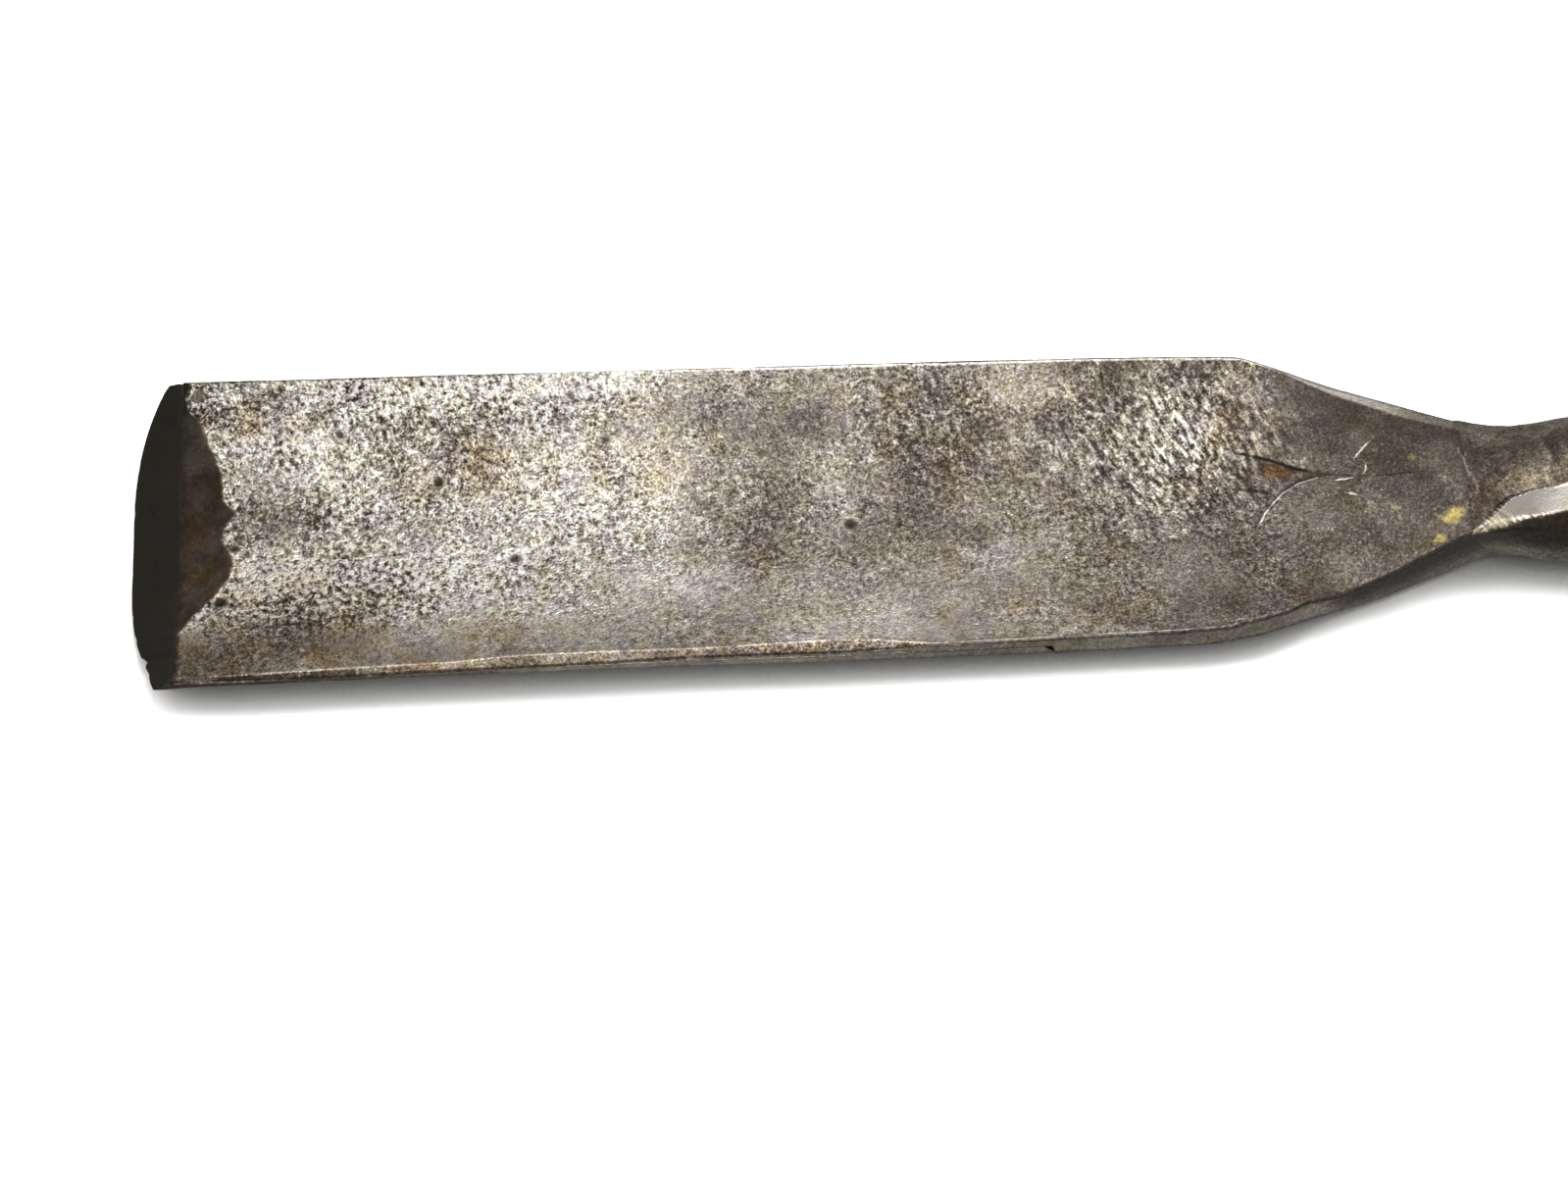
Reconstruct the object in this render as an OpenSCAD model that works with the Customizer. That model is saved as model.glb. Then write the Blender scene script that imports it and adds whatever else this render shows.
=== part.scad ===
// Wide in-cannel socket gouge, hollow side up, in millimetres.
// X runs along the tool from the cutting edge (-X) to the striking end (+X), Z is up.
// The origin is under the middle of the tool, level with the lowest point of the handle.

/* [Blade] */
// Width across the cutting edge
edge_w = 50.8; // [30:0.1:60]
// Width across the shoulders
shoulder_w = 47.6; // [28:0.1:58]
// Length from the cutting edge to the shoulders
blade_l = 174; // [120:1:240]
// Thickness on the centre line behind the bevel
mid_t = 5.8; // [4:0.1:9]
// Thickness on the centre line at the shoulders
shoulder_t = 7.6; // [5:0.1:11]
// Height of the side walls near the edge
rim_t = 2; // [1.5:0.1:5]
// Height of the side walls at the shoulders
shoulder_rim_t = 5; // [3:0.1:8]
// Depth of the flute below its rims near the edge
flute_d = 4.2; // [2:0.1:7]
// Depth of the flute below its rims at the shoulders
shoulder_flute_d = 3.4; // [1:0.1:6]
// How far the side walls lean in from bottom to top, in degrees
wall_lean = 10; // [0:1:20]

/* [Cutting edge] */
// How far the corners are ground back behind the middle of the edge
nose_d = 6.4; // [0:0.1:10]
// How far the right corner is worn back and the left one stands forward
edge_skew = 0.3; // [0:0.1:4]
// Length of the inside bevel on the centre line
bevel_l = 15.5; // [10:0.5:24]
// Length of the inside bevel at the corners
bevel_corner_l = 3; // [2:0.5:8]
// Worn flat left on the cutting edge
edge_land = 0.3; // [0.2:0.05:0.6]

/* [Laid steel] */
// Distance from the steel's rear end to the shoulders
steel_gap = 32; // [16:1:60]
// Part of the blade's thickness that is steel
steel_share = 0.45; // [0.3:0.05:0.6]
// Thickness of the steel's rear end
steel_end_t = 0.5; // [0.3:0.1:1]
// Length of the groove left by the weld behind the steel
weld_groove = 0.8; // [0.4:0.1:2]
// Height of the iron's blunt lip on the bevel
iron_lip = 0.15; // [0.1:0.05:0.3]

/* [Neck] */
// Length from the shoulders to the narrowest point of the neck
shoulder_l = 38.5; // [30:0.5:70]
// Width of the neck
neck_w = 15.8; // [12:0.1:20]
// Height of the neck
neck_h = 18; // [13:0.2:22]
// How far the underside of the neck lies below the back of the blade
neck_drop = 4.4; // [0:0.1:7]
// How far the underside of the neck is rounded up at its corners
neck_round = 2.2; // [1:0.1:4]
// How far the top of the neck is crowned
neck_crown = 1.2; // [0.2:0.1:2]
// Length over which the flute runs out behind the shoulders
flute_run = 18; // [10:1:28]
// Length of the scarf weld between neck and socket
scarf_l = 6; // [3:0.5:9]

/* [Socket] */
// Length from the narrowest point of the neck to the socket's mouth
socket_l = 78; // [60:1:110]
// Outside diameter at the mouth
mouth_d = 33; // [28:0.5:40]
// Thickness of the wall at the mouth
mouth_wall = 2.9; // [2:0.1:4]
// Slope of the outside of the cone, in degrees
socket_slope = 4.5; // [3:0.5:6]
// Length of the flare from the neck to the cone
flare_l = 11; // [8:1:16]
// Length of iron between the neck and the bottom of the bore
bore_floor = 18; // [13:1:30]
// Thickness of the wall at the bottom of the bore
floor_wall = 4.7; // [3:0.1:6]
// Chamfer round the mouth
mouth_chamfer = 0.8; // [0.3:0.1:1.2]

/* [Handle] */
// Length of the grip and barrel, from the socket's mouth to the leather
handle_l = 120; // [90:1:160]
// Diameter of the straight barrel
barrel_d = 34; // [30:0.5:40]
// Length of the straight barrel
barrel_l = 36; // [20:1:50]
// How far the handle's shoulder stands in from the outside of the mouth
collar_step = 1; // [0:0.1:1.2]
// Gap between the socket's mouth and the handle's shoulder
mouth_gap = 2; // [0.5:0.5:4]
// Distance from the tenon's tip to the bottom of the bore
tip_gap = 4; // [2:0.5:8]
// Chamfer at the ends of the grip
grip_chamfer = 1.6; // [0.5:0.1:3]
// Diameter of the spigot that holds the leather
spigot_d = 16; // [10:0.5:20]

/* [Leather] */
// How far the leather stands in from the barrel
leather_step = 0.7; // [0.1:0.1:3]
// Thickness of one leather washer
washer_t = 6.2; // [3:0.1:9]
// How far the leather stands proud of the spigot's end
leather_proud = 0.6; // [0:0.1:1.5]

/* [Clearances] */
// Radial play between the tapered tenon and the socket
taper_play = 0.05; // [0.02:0.01:0.1]
// Radial play between the spigot and the washers
spigot_play = 0.05; // [0.02:0.01:0.1]

/* [Hidden] */
$fn = 96;
washer_n = 4;

// Places along the tool, measured from the middle of the cutting edge
neck_s = blade_l + shoulder_l;
mouth_s = neck_s + socket_l;
leather_s = mouth_s + handle_l;
end_s = leather_s + washer_n * washer_t;
steel_l = blade_l - steel_gap;
scarf_top_s = neck_s - scarf_l;
flare_s = neck_s + flare_l;
bore_s = neck_s + bore_floor;
bore_depth = mouth_s - bore_s;

// The blade keeps its full width over the ground part, and its sections are straight across from here on
taper_start_s = bevel_l;
straight_s = bevel_l + nose_d + 16;

// Heights: the handle's lowest line is at zero, and the back of the blade lies above it
axis_z = max(barrel_d, mouth_d) / 2;
back_z = axis_z - neck_h / 2 + neck_drop;

// Colours
iron_colour = [0.55, 0.52, 0.47];
steel_colour = [0.40, 0.39, 0.36];
socket_colour = [0.36, 0.33, 0.30];
wood_colour = [0.56, 0.36, 0.19];
leather_colour = [0.36, 0.22, 0.13];

// Grid of the blade: steps across, steps along the bevel, and steps along each stretch behind it
across = 16;
bevel_steps = 4;
blade_step = 12;
shoulder_step = 4;
neck_steps = 6;
cross = [for (j = [0 : across]) 2 * j / across - 1];
front_s = min([for (v = cross) edge_s(v)]);
shift_x = -(front_s + end_s) / 2;

function mix(a, b, t) = a + (b - a) * min(1, max(0, t));
function ease(t) = let (u = min(1, max(0, t))) u * u * (3 - 2 * u);

// Share of the way from the blade's front to its shoulders, and from the shoulders to the neck
function along_blade(s) = (s - taper_start_s) / (blade_l - taper_start_s);
function along_shoulder(s) = min(1, max(0, (s - blade_l) / shoulder_l));

// Half the width at the foot of the side walls. The shoulders run in almost straight and ease into the neck.
shoulder_ease = 1.15;
function half_w(s) = s <= blade_l
    ? mix(edge_w, shoulder_w, along_blade(s)) / 2
    : neck_w / 2 + (shoulder_w - neck_w) / 2 * pow(1 - along_shoulder(s), shoulder_ease);

// Thickness on the centre line
function mid_thick(s) = s <= blade_l
    ? mix(mid_t, shoulder_t, along_blade(s))
    : mix(shoulder_t, neck_h, ease(along_shoulder(s)));

// Depth of the flute, which runs out beyond the shoulders and turns into the neck's crown
function flute(s) = s <= blade_l
    ? mix(flute_d, shoulder_flute_d, along_blade(s))
    : mix(shoulder_flute_d, -neck_crown, ease((s - blade_l) / flute_run));

// Height of the side wall
function wall_h(s) = s <= blade_l
    ? mix(rim_t, shoulder_rim_t, ease(along_blade(s)))
    : mix(shoulder_rim_t, neck_h - neck_round - neck_crown, ease(along_shoulder(s)));

// Rise of the convex back from the centre line to the foot of the side walls
function back_rise(s) = mid_thick(s) + flute(s) - wall_h(s);

// The curve of the back is a parabola on the blade and squares up towards the neck
blade_power = 2;
neck_power = 4;
function squareness(s) = mix(blade_power, neck_power, along_shoulder(s));
function foot_z(s) = back_z - neck_drop * ease(along_shoulder(s));
function back_at(s, v) = foot_z(s) + back_rise(s) * pow(abs(v), squareness(s));
function top_at(s, v) = foot_z(s) + mid_thick(s) + flute(s) * v * v;
function lean(s) = wall_h(s) * tan(wall_lean) * (1 - along_shoulder(s));

// Plan of the cutting edge and length of the bevel, at v from -1 (right rim) to 1 (left rim)
function edge_s(v) = nose_d * pow(abs(v), 3) - edge_skew * v;
function bevel_at(v) = mix(bevel_l, bevel_corner_l, v * v);

// Stations along the blade behind the bevel, in front of the end of the steel, and from there to the neck
plated_stations = [for (s = [straight_s : blade_step : steel_l - blade_step / 2]) s];
bare_stations = concat(
    [for (s = [steel_l + weld_groove : blade_step : blade_l - blade_step / 2]) s],
    [for (s = [blade_l : shoulder_step : scarf_top_s - shoulder_step / 2]) s]);

// Height of the top of the section over its foot, and of the lamination between steel and iron
function full_h(s, v) = top_at(s, v) - back_at(s, v);
function plate_h(s, v) = mix(edge_land, full_h(s, v), steel_share);

// A point of the section at the height h over its foot, drawn in as far as the side wall leans
function point_at(s, v, h) =
    [s + shift_x, v * (half_w(s) - lean(s) * h / full_h(s, v)), back_at(s, v) + h];

// One ring of the loft: along the foot at the heights low[j], and back along the top at the heights high[j]
function ring(places, low, high) = concat(
    [for (j = [0 : across]) point_at(places[j], cross[j], low[j])],
    [for (j = [across : -1 : 0]) point_at(places[j], cross[j], high[j])]);
function at_all(value) = [for (v = cross) value];
function bevel_places(t) = [for (v = cross) edge_s(v) + t * bevel_at(v)];
function full_heights(places) = [for (j = [0 : across]) full_h(places[j], cross[j])];
function plate_heights(places) = [for (j = [0 : across]) plate_h(places[j], cross[j])];
function mix_all(a, b, t) = [for (j = [0 : across]) mix(a[j], b[j], t)];
bevel_end = bevel_places(1);

// A closed solid through rings of equal length, each running along its foot and back along its top.
// Foot and top split their quads along the same diagonals, so a foot that lies on another loft's top fits it.
module loft(rings) {
    n = len(rings[0]);
    last = len(rings) - 1;
    half = n / 2;
    sides = [for (i = [0 : last - 1]) for (j = [0 : n - 1])
        let (a = i * n + j, b = i * n + (j + 1) % n)
        each j < half ? [[a, b + n, b], [a, a + n, b + n]] : [[a, a + n, b], [a + n, b + n, b]]];
    front = [for (j = [0 : half - 2]) let (a = j, b = j + 1, c = n - 2 - j, d = n - 1 - j)
        each [[a, b, c], [a, c, d]]];
    rear = [for (j = [0 : half - 2])
        let (o = last * n, a = o + j, b = o + j + 1, c = o + n - 2 - j, d = o + n - 1 - j)
        each [[a, c, b], [a, d, c]]];
    polyhedron(points = [for (r = rings) each r], faces = concat(sides, front, rear), convexity = 6);
}

// The last ring of the neck, slanted along the scarf weld
scarf_ring = [for (p = ring(at_all(neck_s), at_all(0), full_heights(at_all(neck_s))))
    [scarf_top_s + shift_x + (axis_z + neck_h / 2 - p.z) * scarf_l / neck_h, p.y, p.z]];

// The iron lies on the steel from its lip in the bevel to the end of the steel, and is the full section behind it
module blade_iron() {
    color(iron_colour) loft(concat(
        [for (i = [0 : bevel_steps]) let (t = i / bevel_steps, places = bevel_places(mix(steel_share, 1, t)))
            ring(places, plate_heights(bevel_end),
                mix_all(plate_heights(bevel_end) + at_all(iron_lip), full_heights(bevel_end), t))],
        [for (s = plated_stations) let (places = at_all(s)) ring(places, plate_heights(places), full_heights(places))],
        [ring(at_all(steel_l), at_all(steel_end_t), full_heights(at_all(steel_l)))],
        [for (s = bare_stations) let (places = at_all(s)) ring(places, at_all(0), full_heights(places))],
        [scarf_ring]));
}

// The steel carries the edge, rises with the bevel to the iron's lip, and thins out to its rear end
module blade_steel() {
    color(steel_colour) loft(concat(
        [for (i = [0 : bevel_steps]) let (t = i / bevel_steps)
            ring(bevel_places(steel_share * t), at_all(0), mix_all(at_all(edge_land), plate_heights(bevel_end), t))],
        [for (i = [1 : bevel_steps]) let (t = i / bevel_steps)
            ring(bevel_places(mix(steel_share, 1, t)), at_all(0), plate_heights(bevel_end))],
        [for (s = plated_stations) let (places = at_all(s)) ring(places, at_all(0), plate_heights(places))],
        [ring(at_all(steel_l), at_all(0), at_all(steel_end_t))]));
}

// Outside radius of the socket's cone, and inside radius of its tapered bore
function cone_r(s) = mouth_d / 2 - (mouth_s - s) * tan(socket_slope);
bore_mouth_r = mouth_d / 2 - mouth_wall;
bore_end_r = cone_r(bore_s) - floor_wall;

// Turns a profile of [distance along the tool, radius] points about the tool's axis
module turned(profile) {
    translate([shift_x, 0, axis_z]) rotate([0, 90, 0])
        rotate_extrude() polygon([for (p = profile) [p[1], p[0]]]);
}

// A ring round the cone with as many points as the rings of the neck, starting at the same side
function round_ring(s, r) = let (n = len(scarf_ring)) [for (j = [0 : n - 1])
    let (turn = 180 + (j + 0.5) * 360 / n)
    [s + shift_x, r * cos(turn), axis_z + r * sin(turn)]];

// The socket grows out of the square scarf into the round cone, and ends in a chamfered mouth
module socket() {
    cone_start = round_ring(flare_s, cone_r(flare_s));
    chamfer_s = mouth_s - mouth_chamfer;
    color(socket_colour) difference() {
        loft(concat(
            [for (i = [0 : neck_steps]) let (t = i / neck_steps)
                [for (j = [0 : len(scarf_ring) - 1])
                    [mix(scarf_ring[j].x, cone_start[j].x, t),
                        mix(scarf_ring[j].y, cone_start[j].y, ease(t)),
                        mix(scarf_ring[j].z, cone_start[j].z, ease(t))]]],
            [round_ring(chamfer_s, cone_r(chamfer_s)), round_ring(mouth_s, mouth_d / 2 - mouth_chamfer)]));
        turned([[bore_s, 0], [bore_s, bore_end_r], [mouth_s, bore_mouth_r],
            [mouth_s + 1, bore_mouth_r], [mouth_s + 1, 0]]);
    }
}

// Radius of the tenon, which follows the bore with its play
function tenon_r(s) = mix(bore_end_r, bore_mouth_r, (s - bore_s) / bore_depth) - taper_play;

module handle() {
    grip_steps = 14;
    tenon_end_s = bore_s + tip_gap;
    collar_r = mouth_d / 2 - collar_step;
    collar_s = mouth_s + mouth_gap;
    barrel_s = leather_s - grip_chamfer - barrel_l;
    spigot_end_s = end_s - leather_proud;
    color(wood_colour) turned(concat(
        [[tenon_end_s, 0], [tenon_end_s, tenon_r(tenon_end_s)], [mouth_s, tenon_r(mouth_s)],
            [collar_s, tenon_r(mouth_s)], [collar_s, collar_r - grip_chamfer]],
        [for (i = [0 : grip_steps]) let (t = i / grip_steps)
            [mix(collar_s + grip_chamfer, barrel_s, t), mix(collar_r, barrel_d / 2, ease(t))]],
        [[barrel_s + barrel_l, barrel_d / 2], [leather_s, barrel_d / 2 - grip_chamfer],
            [leather_s, spigot_d / 2], [spigot_end_s, spigot_d / 2], [spigot_end_s, 0]]));
}

module leather_washer(i) {
    low_s = leather_s + (i - 1) * washer_t;
    washer_r = barrel_d / 2 - leather_step;
    color(leather_colour) difference() {
        turned([[low_s, 0], [low_s, washer_r], [low_s + washer_t, washer_r], [low_s + washer_t, 0]]);
        turned([[low_s - 1, 0], [low_s - 1, spigot_d / 2 + spigot_play],
            [low_s + washer_t + 1, spigot_d / 2 + spigot_play], [low_s + washer_t + 1, 0]]);
    }
}

blade_iron();
blade_steel();
socket();
handle();
for (i = [1 : washer_n]) leather_washer(i);
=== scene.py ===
import itertools
import math

import bmesh
import bpy
import numpy as np
from mathutils import Matrix, Vector


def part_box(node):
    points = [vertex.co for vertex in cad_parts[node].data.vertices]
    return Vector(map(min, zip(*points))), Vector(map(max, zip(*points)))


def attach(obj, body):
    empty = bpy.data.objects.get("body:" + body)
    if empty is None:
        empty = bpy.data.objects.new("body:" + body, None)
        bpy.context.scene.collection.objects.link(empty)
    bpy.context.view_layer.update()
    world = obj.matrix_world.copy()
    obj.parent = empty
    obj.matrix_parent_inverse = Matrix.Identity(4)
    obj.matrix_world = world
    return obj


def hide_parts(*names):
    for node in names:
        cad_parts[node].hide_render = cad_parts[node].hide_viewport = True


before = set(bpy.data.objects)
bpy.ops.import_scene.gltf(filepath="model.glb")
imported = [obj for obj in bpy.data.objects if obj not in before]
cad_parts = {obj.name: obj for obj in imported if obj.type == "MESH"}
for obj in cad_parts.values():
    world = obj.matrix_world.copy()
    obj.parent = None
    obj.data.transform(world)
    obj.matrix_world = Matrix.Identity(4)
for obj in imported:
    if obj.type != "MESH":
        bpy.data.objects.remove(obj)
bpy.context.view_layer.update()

# A wide in-cannel socket gouge, hollow side up: an iron blade with steel laid under it, a rolled socket,
# a turned handle and four leather washers. Sizes are in millimetres where nothing else is said.
MM = 0.001


def box_mm(node):
    """Lowest and highest corner of a CAD node, in millimetres."""
    low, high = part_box(node)
    return np.array(low) / MM, np.array(high) / MM


# Places that the CAD model gives: the tip of the edge, the mouth of the socket and the ends of the handle
START_X = box_mm("blade_steel")[0][0]
MOUTH_X = box_mm("socket")[1][0]
TENON_X = box_mm("handle")[0][0]
SPIGOT_X = box_mm("handle")[1][0]
LEATHER_X = box_mm("leather_washer_1")[0][0]
AXIS_Z = (box_mm("handle")[0][2] + box_mm("handle")[1][2]) / 2

# Blade: s runs along it from the tip of the edge, v runs across it from -1 at the right rim to 1 at the left
EDGE_W = 50.8
SHOULDER_W = 47.6
BLADE_L = 174.0
MID_T = 5.8
SHOULDER_T = 7.6
RIM_T = 2.0
SHOULDER_RIM_T = 5.0
FLUTE_D = 4.2
SHOULDER_FLUTE_D = 3.4
WALL_LEAN = math.tan(math.radians(10))
BACK_Z = 12.4

# Cutting edge and inside bevel
NOSE_D = 6.4
EDGE_SKEW = 0.3
BEVEL_L = 15.5
EDGE_LAND = 0.3
STRAIGHT_S = BEVEL_L + NOSE_D + 16

# Laid steel
STEEL_L = 142.0
STEEL_SHARE = 0.45
STEEL_END_T = 0.5
WELD_LINE = 0.15
IRON_LIP = 0.06

# Shoulders, neck and scarf weld
SHOULDER_L = 38.5
NECK_S = BLADE_L + SHOULDER_L
NECK_W = 15.8
NECK_H = 18.0
NECK_DROP = 4.4
NECK_ROUND = 2.2
NECK_CROWN = 1.2
FLUTE_RUN = 18.0
SHOULDER_EASE = 1.15
SCARF_L = 6.0
SCARF_S = NECK_S - SCARF_L
SLANT_S = NECK_S - 14

# Socket
MOUTH_R = 16.5
MOUTH_WALL = 2.9
MOUTH_CHAMFER = 0.8
SOCKET_SLOPE = math.tan(math.radians(4.5))
FLARE_S = NECK_S + 11
BORE_S = NECK_S + 18
BORE_END_R = 7.08

# Handle and leather
BARREL_R = 17.0
BARREL_L = 36.0
GRIP_CHAMFER = 1.6
COLLAR_R = 15.5
MOUTH_GAP = 2.0
TAPER_PLAY = 0.05
SPIGOT_R = 8.0
WASHER_R = 16.3
WASHER_T = 6.2
SPIGOT_PLAY = 0.05


def mix(a, b, t):
    """A value on the way from a to b."""
    return a + (b - a) * np.clip(t, 0, 1)


def ease(t):
    """0 to 1 with a soft start and end."""
    u = np.clip(t, 0, 1)
    return u * u * (3 - 2 * u)


def swell(s, start, end):
    """0 at both ends of a stretch and 1 in its middle."""
    return np.sin(math.pi * np.clip((s - start) / (end - start), 0, 1)) ** 2


# Large odd numbers that scatter the cells of a grid, so that neighbours get unlike values
SCATTER_CELL = (374761393, 668265263, 1103515245)
SCATTER_SEED = 974711
SCATTER_MIX = 1274126177
LONG_WORD = 0xFFFFFFFF
SHORT_WORD = 0xFFFF
OTHER_DRAW = 7919


def spread(value):
    """A number from 0 to 1 for each whole number, the same in every run."""
    mixed = ((value ^ (value >> 13)) * SCATTER_MIX) & LONG_WORD
    return ((mixed ^ (mixed >> 16)) & SHORT_WORD) / SHORT_WORD


def cell_number(cell, seed):
    """One whole number for each cell of a grid in space."""
    along, over, up = (cell[..., axis] * SCATTER_CELL[axis] for axis in range(3))
    return (along + over + up + seed * SCATTER_SEED) & LONG_WORD


def lumps(place, size, seed):
    """Soft lumps of the given size, from -1 to 1."""
    scaled = place / size
    base = np.floor(scaled).astype(np.int64)
    part = scaled - base
    part = part * part * (3 - 2 * part)
    total = 0
    for corner in itertools.product((0, 1), repeat=3):
        weight = np.prod(np.where(corner, part, 1 - part), axis=-1)
        total = total + weight * spread(cell_number(base + np.array(corner), seed))
    return 2 * total - 1


def pits(place, size, share, seed):
    """Round pits, from 0 on the plain surface to 1 at the bottom; about a share of the cells has one."""
    scaled = place / size
    base = np.floor(scaled).astype(np.int64)
    deepest = np.zeros(place.shape[:-1])
    for corner in itertools.product((-1, 0, 1), repeat=3):
        number = cell_number(base + np.array(corner), seed)
        draws = [spread(number + k * OTHER_DRAW) for k in (1, 2, 3, 4, 5)]
        middle = np.stack(draws[:3], axis=-1) + base + np.array(corner)
        radius = 0.25 + 0.35 * draws[3]
        far = np.linalg.norm(scaled - middle, axis=-1) / radius
        bowl = np.clip(1 - far * far, 0, 1) * (draws[4] < share)
        deepest = np.maximum(deepest, bowl)
    return deepest


def uneven(place, waves):
    """Depth of a surface that rises and falls; each wave is (depth, size, seed)."""
    return sum(depth * (1 + lumps(place, size, seed)) for depth, size, seed in waves)


def pitting(place, kinds):
    """Depth of the pits strewn over a surface; each kind is (depth, size, share of the cells, seed)."""
    return sum(depth * pits(place, size, share, seed) for depth, size, share, seed in kinds)


def blotches(place, kinds):
    """Lighter and darker blotches; each kind is (how much, size, seed)."""
    return sum(much * lumps(place, size, seed) for much, size, seed in kinds)


def follow(s, table):
    """The value at s of a table of (s, value) points, with straight lines between them."""
    return np.interp(s, *zip(*table))


def stroke(s, y, line, width):
    """1 on a drawn line and 0 beyond half its width; line is a list of (s, y) points."""
    nearest = np.full(np.broadcast(s, y).shape, 1e9)
    for (s0, y0), (s1, y1) in zip(line, line[1:]):
        ds, dy = s1 - s0, y1 - y0
        t = np.clip(((s - s0) * ds + (y - y0) * dy) / (ds * ds + dy * dy), 0, 1)
        nearest = np.minimum(nearest, np.hypot(s - s0 - t * ds, y - y0 - t * dy))
    return np.clip(1 - nearest / (width / 2), 0, 1)


def beside(s, y, line):
    """Distance from a drawn line, positive on one side of it and negative on the other."""
    nearest = np.full(np.broadcast(s, y).shape, 1e9)
    for (s0, y0), (s1, y1) in zip(line, line[1:]):
        ds, dy = s1 - s0, y1 - y0
        t = np.clip(((s - s0) * ds + (y - y0) * dy) / (ds * ds + dy * dy), 0, 1)
        far = np.hypot(s - s0 - t * ds, y - y0 - t * dy)
        side = np.where(ds * (y - y0) - dy * (s - s0) < 0, -1.0, 1.0)
        nearest = np.where(far < np.abs(nearest), far * side, nearest)
    return nearest


def patch(s, y, middle, reach):
    """A soft oval patch: 1 in its middle and 0 beyond its reach along and across."""
    far = np.hypot((s - middle[0]) / reach[0], (y - middle[1]) / reach[1])
    return ease(1 - far)


def patches(s, y, places):
    """Soft oval patches together; each is (s, y, reach along, reach across, how much)."""
    return sum(much * patch(s, y, (s0, y0), (along, over)) for s0, y0, along, over, much in places)


# Blade sections


def along_blade(s):
    """Share of the way from the end of the bevel to the shoulders."""
    return (s - BEVEL_L) / (BLADE_L - BEVEL_L)


def along_shoulder(s):
    """Share of the way from the shoulders' start to the neck."""
    return np.clip((s - BLADE_L) / SHOULDER_L, 0, 1)


# The shoulders aren't forged alike: how far each side stands out from the CAD outline, as (s, out).
# The left one is full; the right one's corner is knocked in at the rim and less at the foot.
LEFT_OUT = [(148, 0.0), (160, -0.2), (170, -0.5), (174, -0.7), (177, -0.1), (182, 0.8), (187, 1.4),
            (191, 1.6), (196, 1.3), (202, 0.6), (207, 0.1), (212, 0.0)]
RIGHT_FOOT_OUT = [(85, 0.0), (107, 0.35), (154, 0.4), (166, 0.3), (174, -0.8), (179, -0.3), (187, -0.1),
                  (195, 0.5), (205, 0.5), (212, 0.0)]
RIGHT_RIM_OUT = [(85, 0.0), (107, 0.35), (126, 0.5), (140, 0.4), (160, 0.4), (168, 0.15), (172, -0.8),
                 (174, -1.3), (178, -0.6), (180.5, -0.9), (183, -0.2), (186, 0.5), (194, 1.1), (200, 0.9),
                 (206, 0.5), (212, 0.0)]


def half_w(s, v):
    """Half the width at the foot of the side wall on the side of v."""
    shoulder = NECK_W / 2 + (SHOULDER_W - NECK_W) / 2 * (1 - along_shoulder(s)) ** SHOULDER_EASE
    plain = np.where(s <= BLADE_L, mix(EDGE_W, SHOULDER_W, along_blade(s)) / 2, shoulder)
    return plain + np.where(v > 0, follow(s, LEFT_OUT), follow(s, RIGHT_FOOT_OUT))


def mid_thick(s):
    """Thickness in the middle of the blade."""
    return np.where(s <= BLADE_L, mix(MID_T, SHOULDER_T, along_blade(s)),
                    mix(SHOULDER_T, NECK_H, ease(along_shoulder(s))))


def flute(s):
    """Depth of the flute below the foot of the rims; the neck is crowned instead."""
    return np.where(s <= BLADE_L, mix(FLUTE_D, SHOULDER_FLUTE_D, along_blade(s)),
                    mix(SHOULDER_FLUTE_D, -NECK_CROWN, ease((s - BLADE_L) / FLUTE_RUN)))


def wall_h(s):
    """Height of the side walls."""
    return np.where(s <= BLADE_L, mix(RIM_T, SHOULDER_RIM_T, ease(along_blade(s))),
                    mix(SHOULDER_RIM_T, NECK_H - NECK_ROUND - NECK_CROWN, ease(along_shoulder(s))))


def back_at(s, v):
    """Height of the convex back."""
    rise = mid_thick(s) + flute(s) - wall_h(s)
    return BACK_Z - NECK_DROP * ease(along_shoulder(s)) + rise * np.abs(v) ** mix(2, 4, along_shoulder(s))


def full_h(s, v):
    """Height of the flute's surface above the back."""
    top = BACK_Z - NECK_DROP * ease(along_shoulder(s)) + mid_thick(s) + flute(s) * v * v
    return top - back_at(s, v)


def section(s, v, h):
    """Places at s along and v across the blade, h above its back."""
    knocked_in = follow(s, RIGHT_FOOT_OUT) - follow(s, RIGHT_RIM_OUT)
    lean = wall_h(s) * WALL_LEAN * (1 - along_shoulder(s)) + knocked_in * (v < 0)
    y = v * (half_w(s, v) - lean * h / full_h(s, v))
    return np.stack([START_X + s + 0 * y, y, back_at(s, v) + h], axis=-1)


# The edge has small nicks, given as (v, how far back, half-width in v)
NICKS = [(-0.775, 0.75, 0.035), (-0.60, 0.18, 0.03), (-0.44, 0.15, 0.02), (-0.12, 0.12, 0.02),
         (0.27, 0.12, 0.03), (0.55, 0.10, 0.02), (-1.0, -1.1, 0.12), (1.0, 0.15, 0.03)]


def edge_s(v):
    """Plan of the worn cutting edge."""
    back = NOSE_D * np.abs(v) ** 3 - EDGE_SKEW * v
    for middle, deep, wide in NICKS:
        back = back + deep * np.clip(1 - np.abs(v - middle) / wide, 0, 1) ** 0.7
    return back


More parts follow.
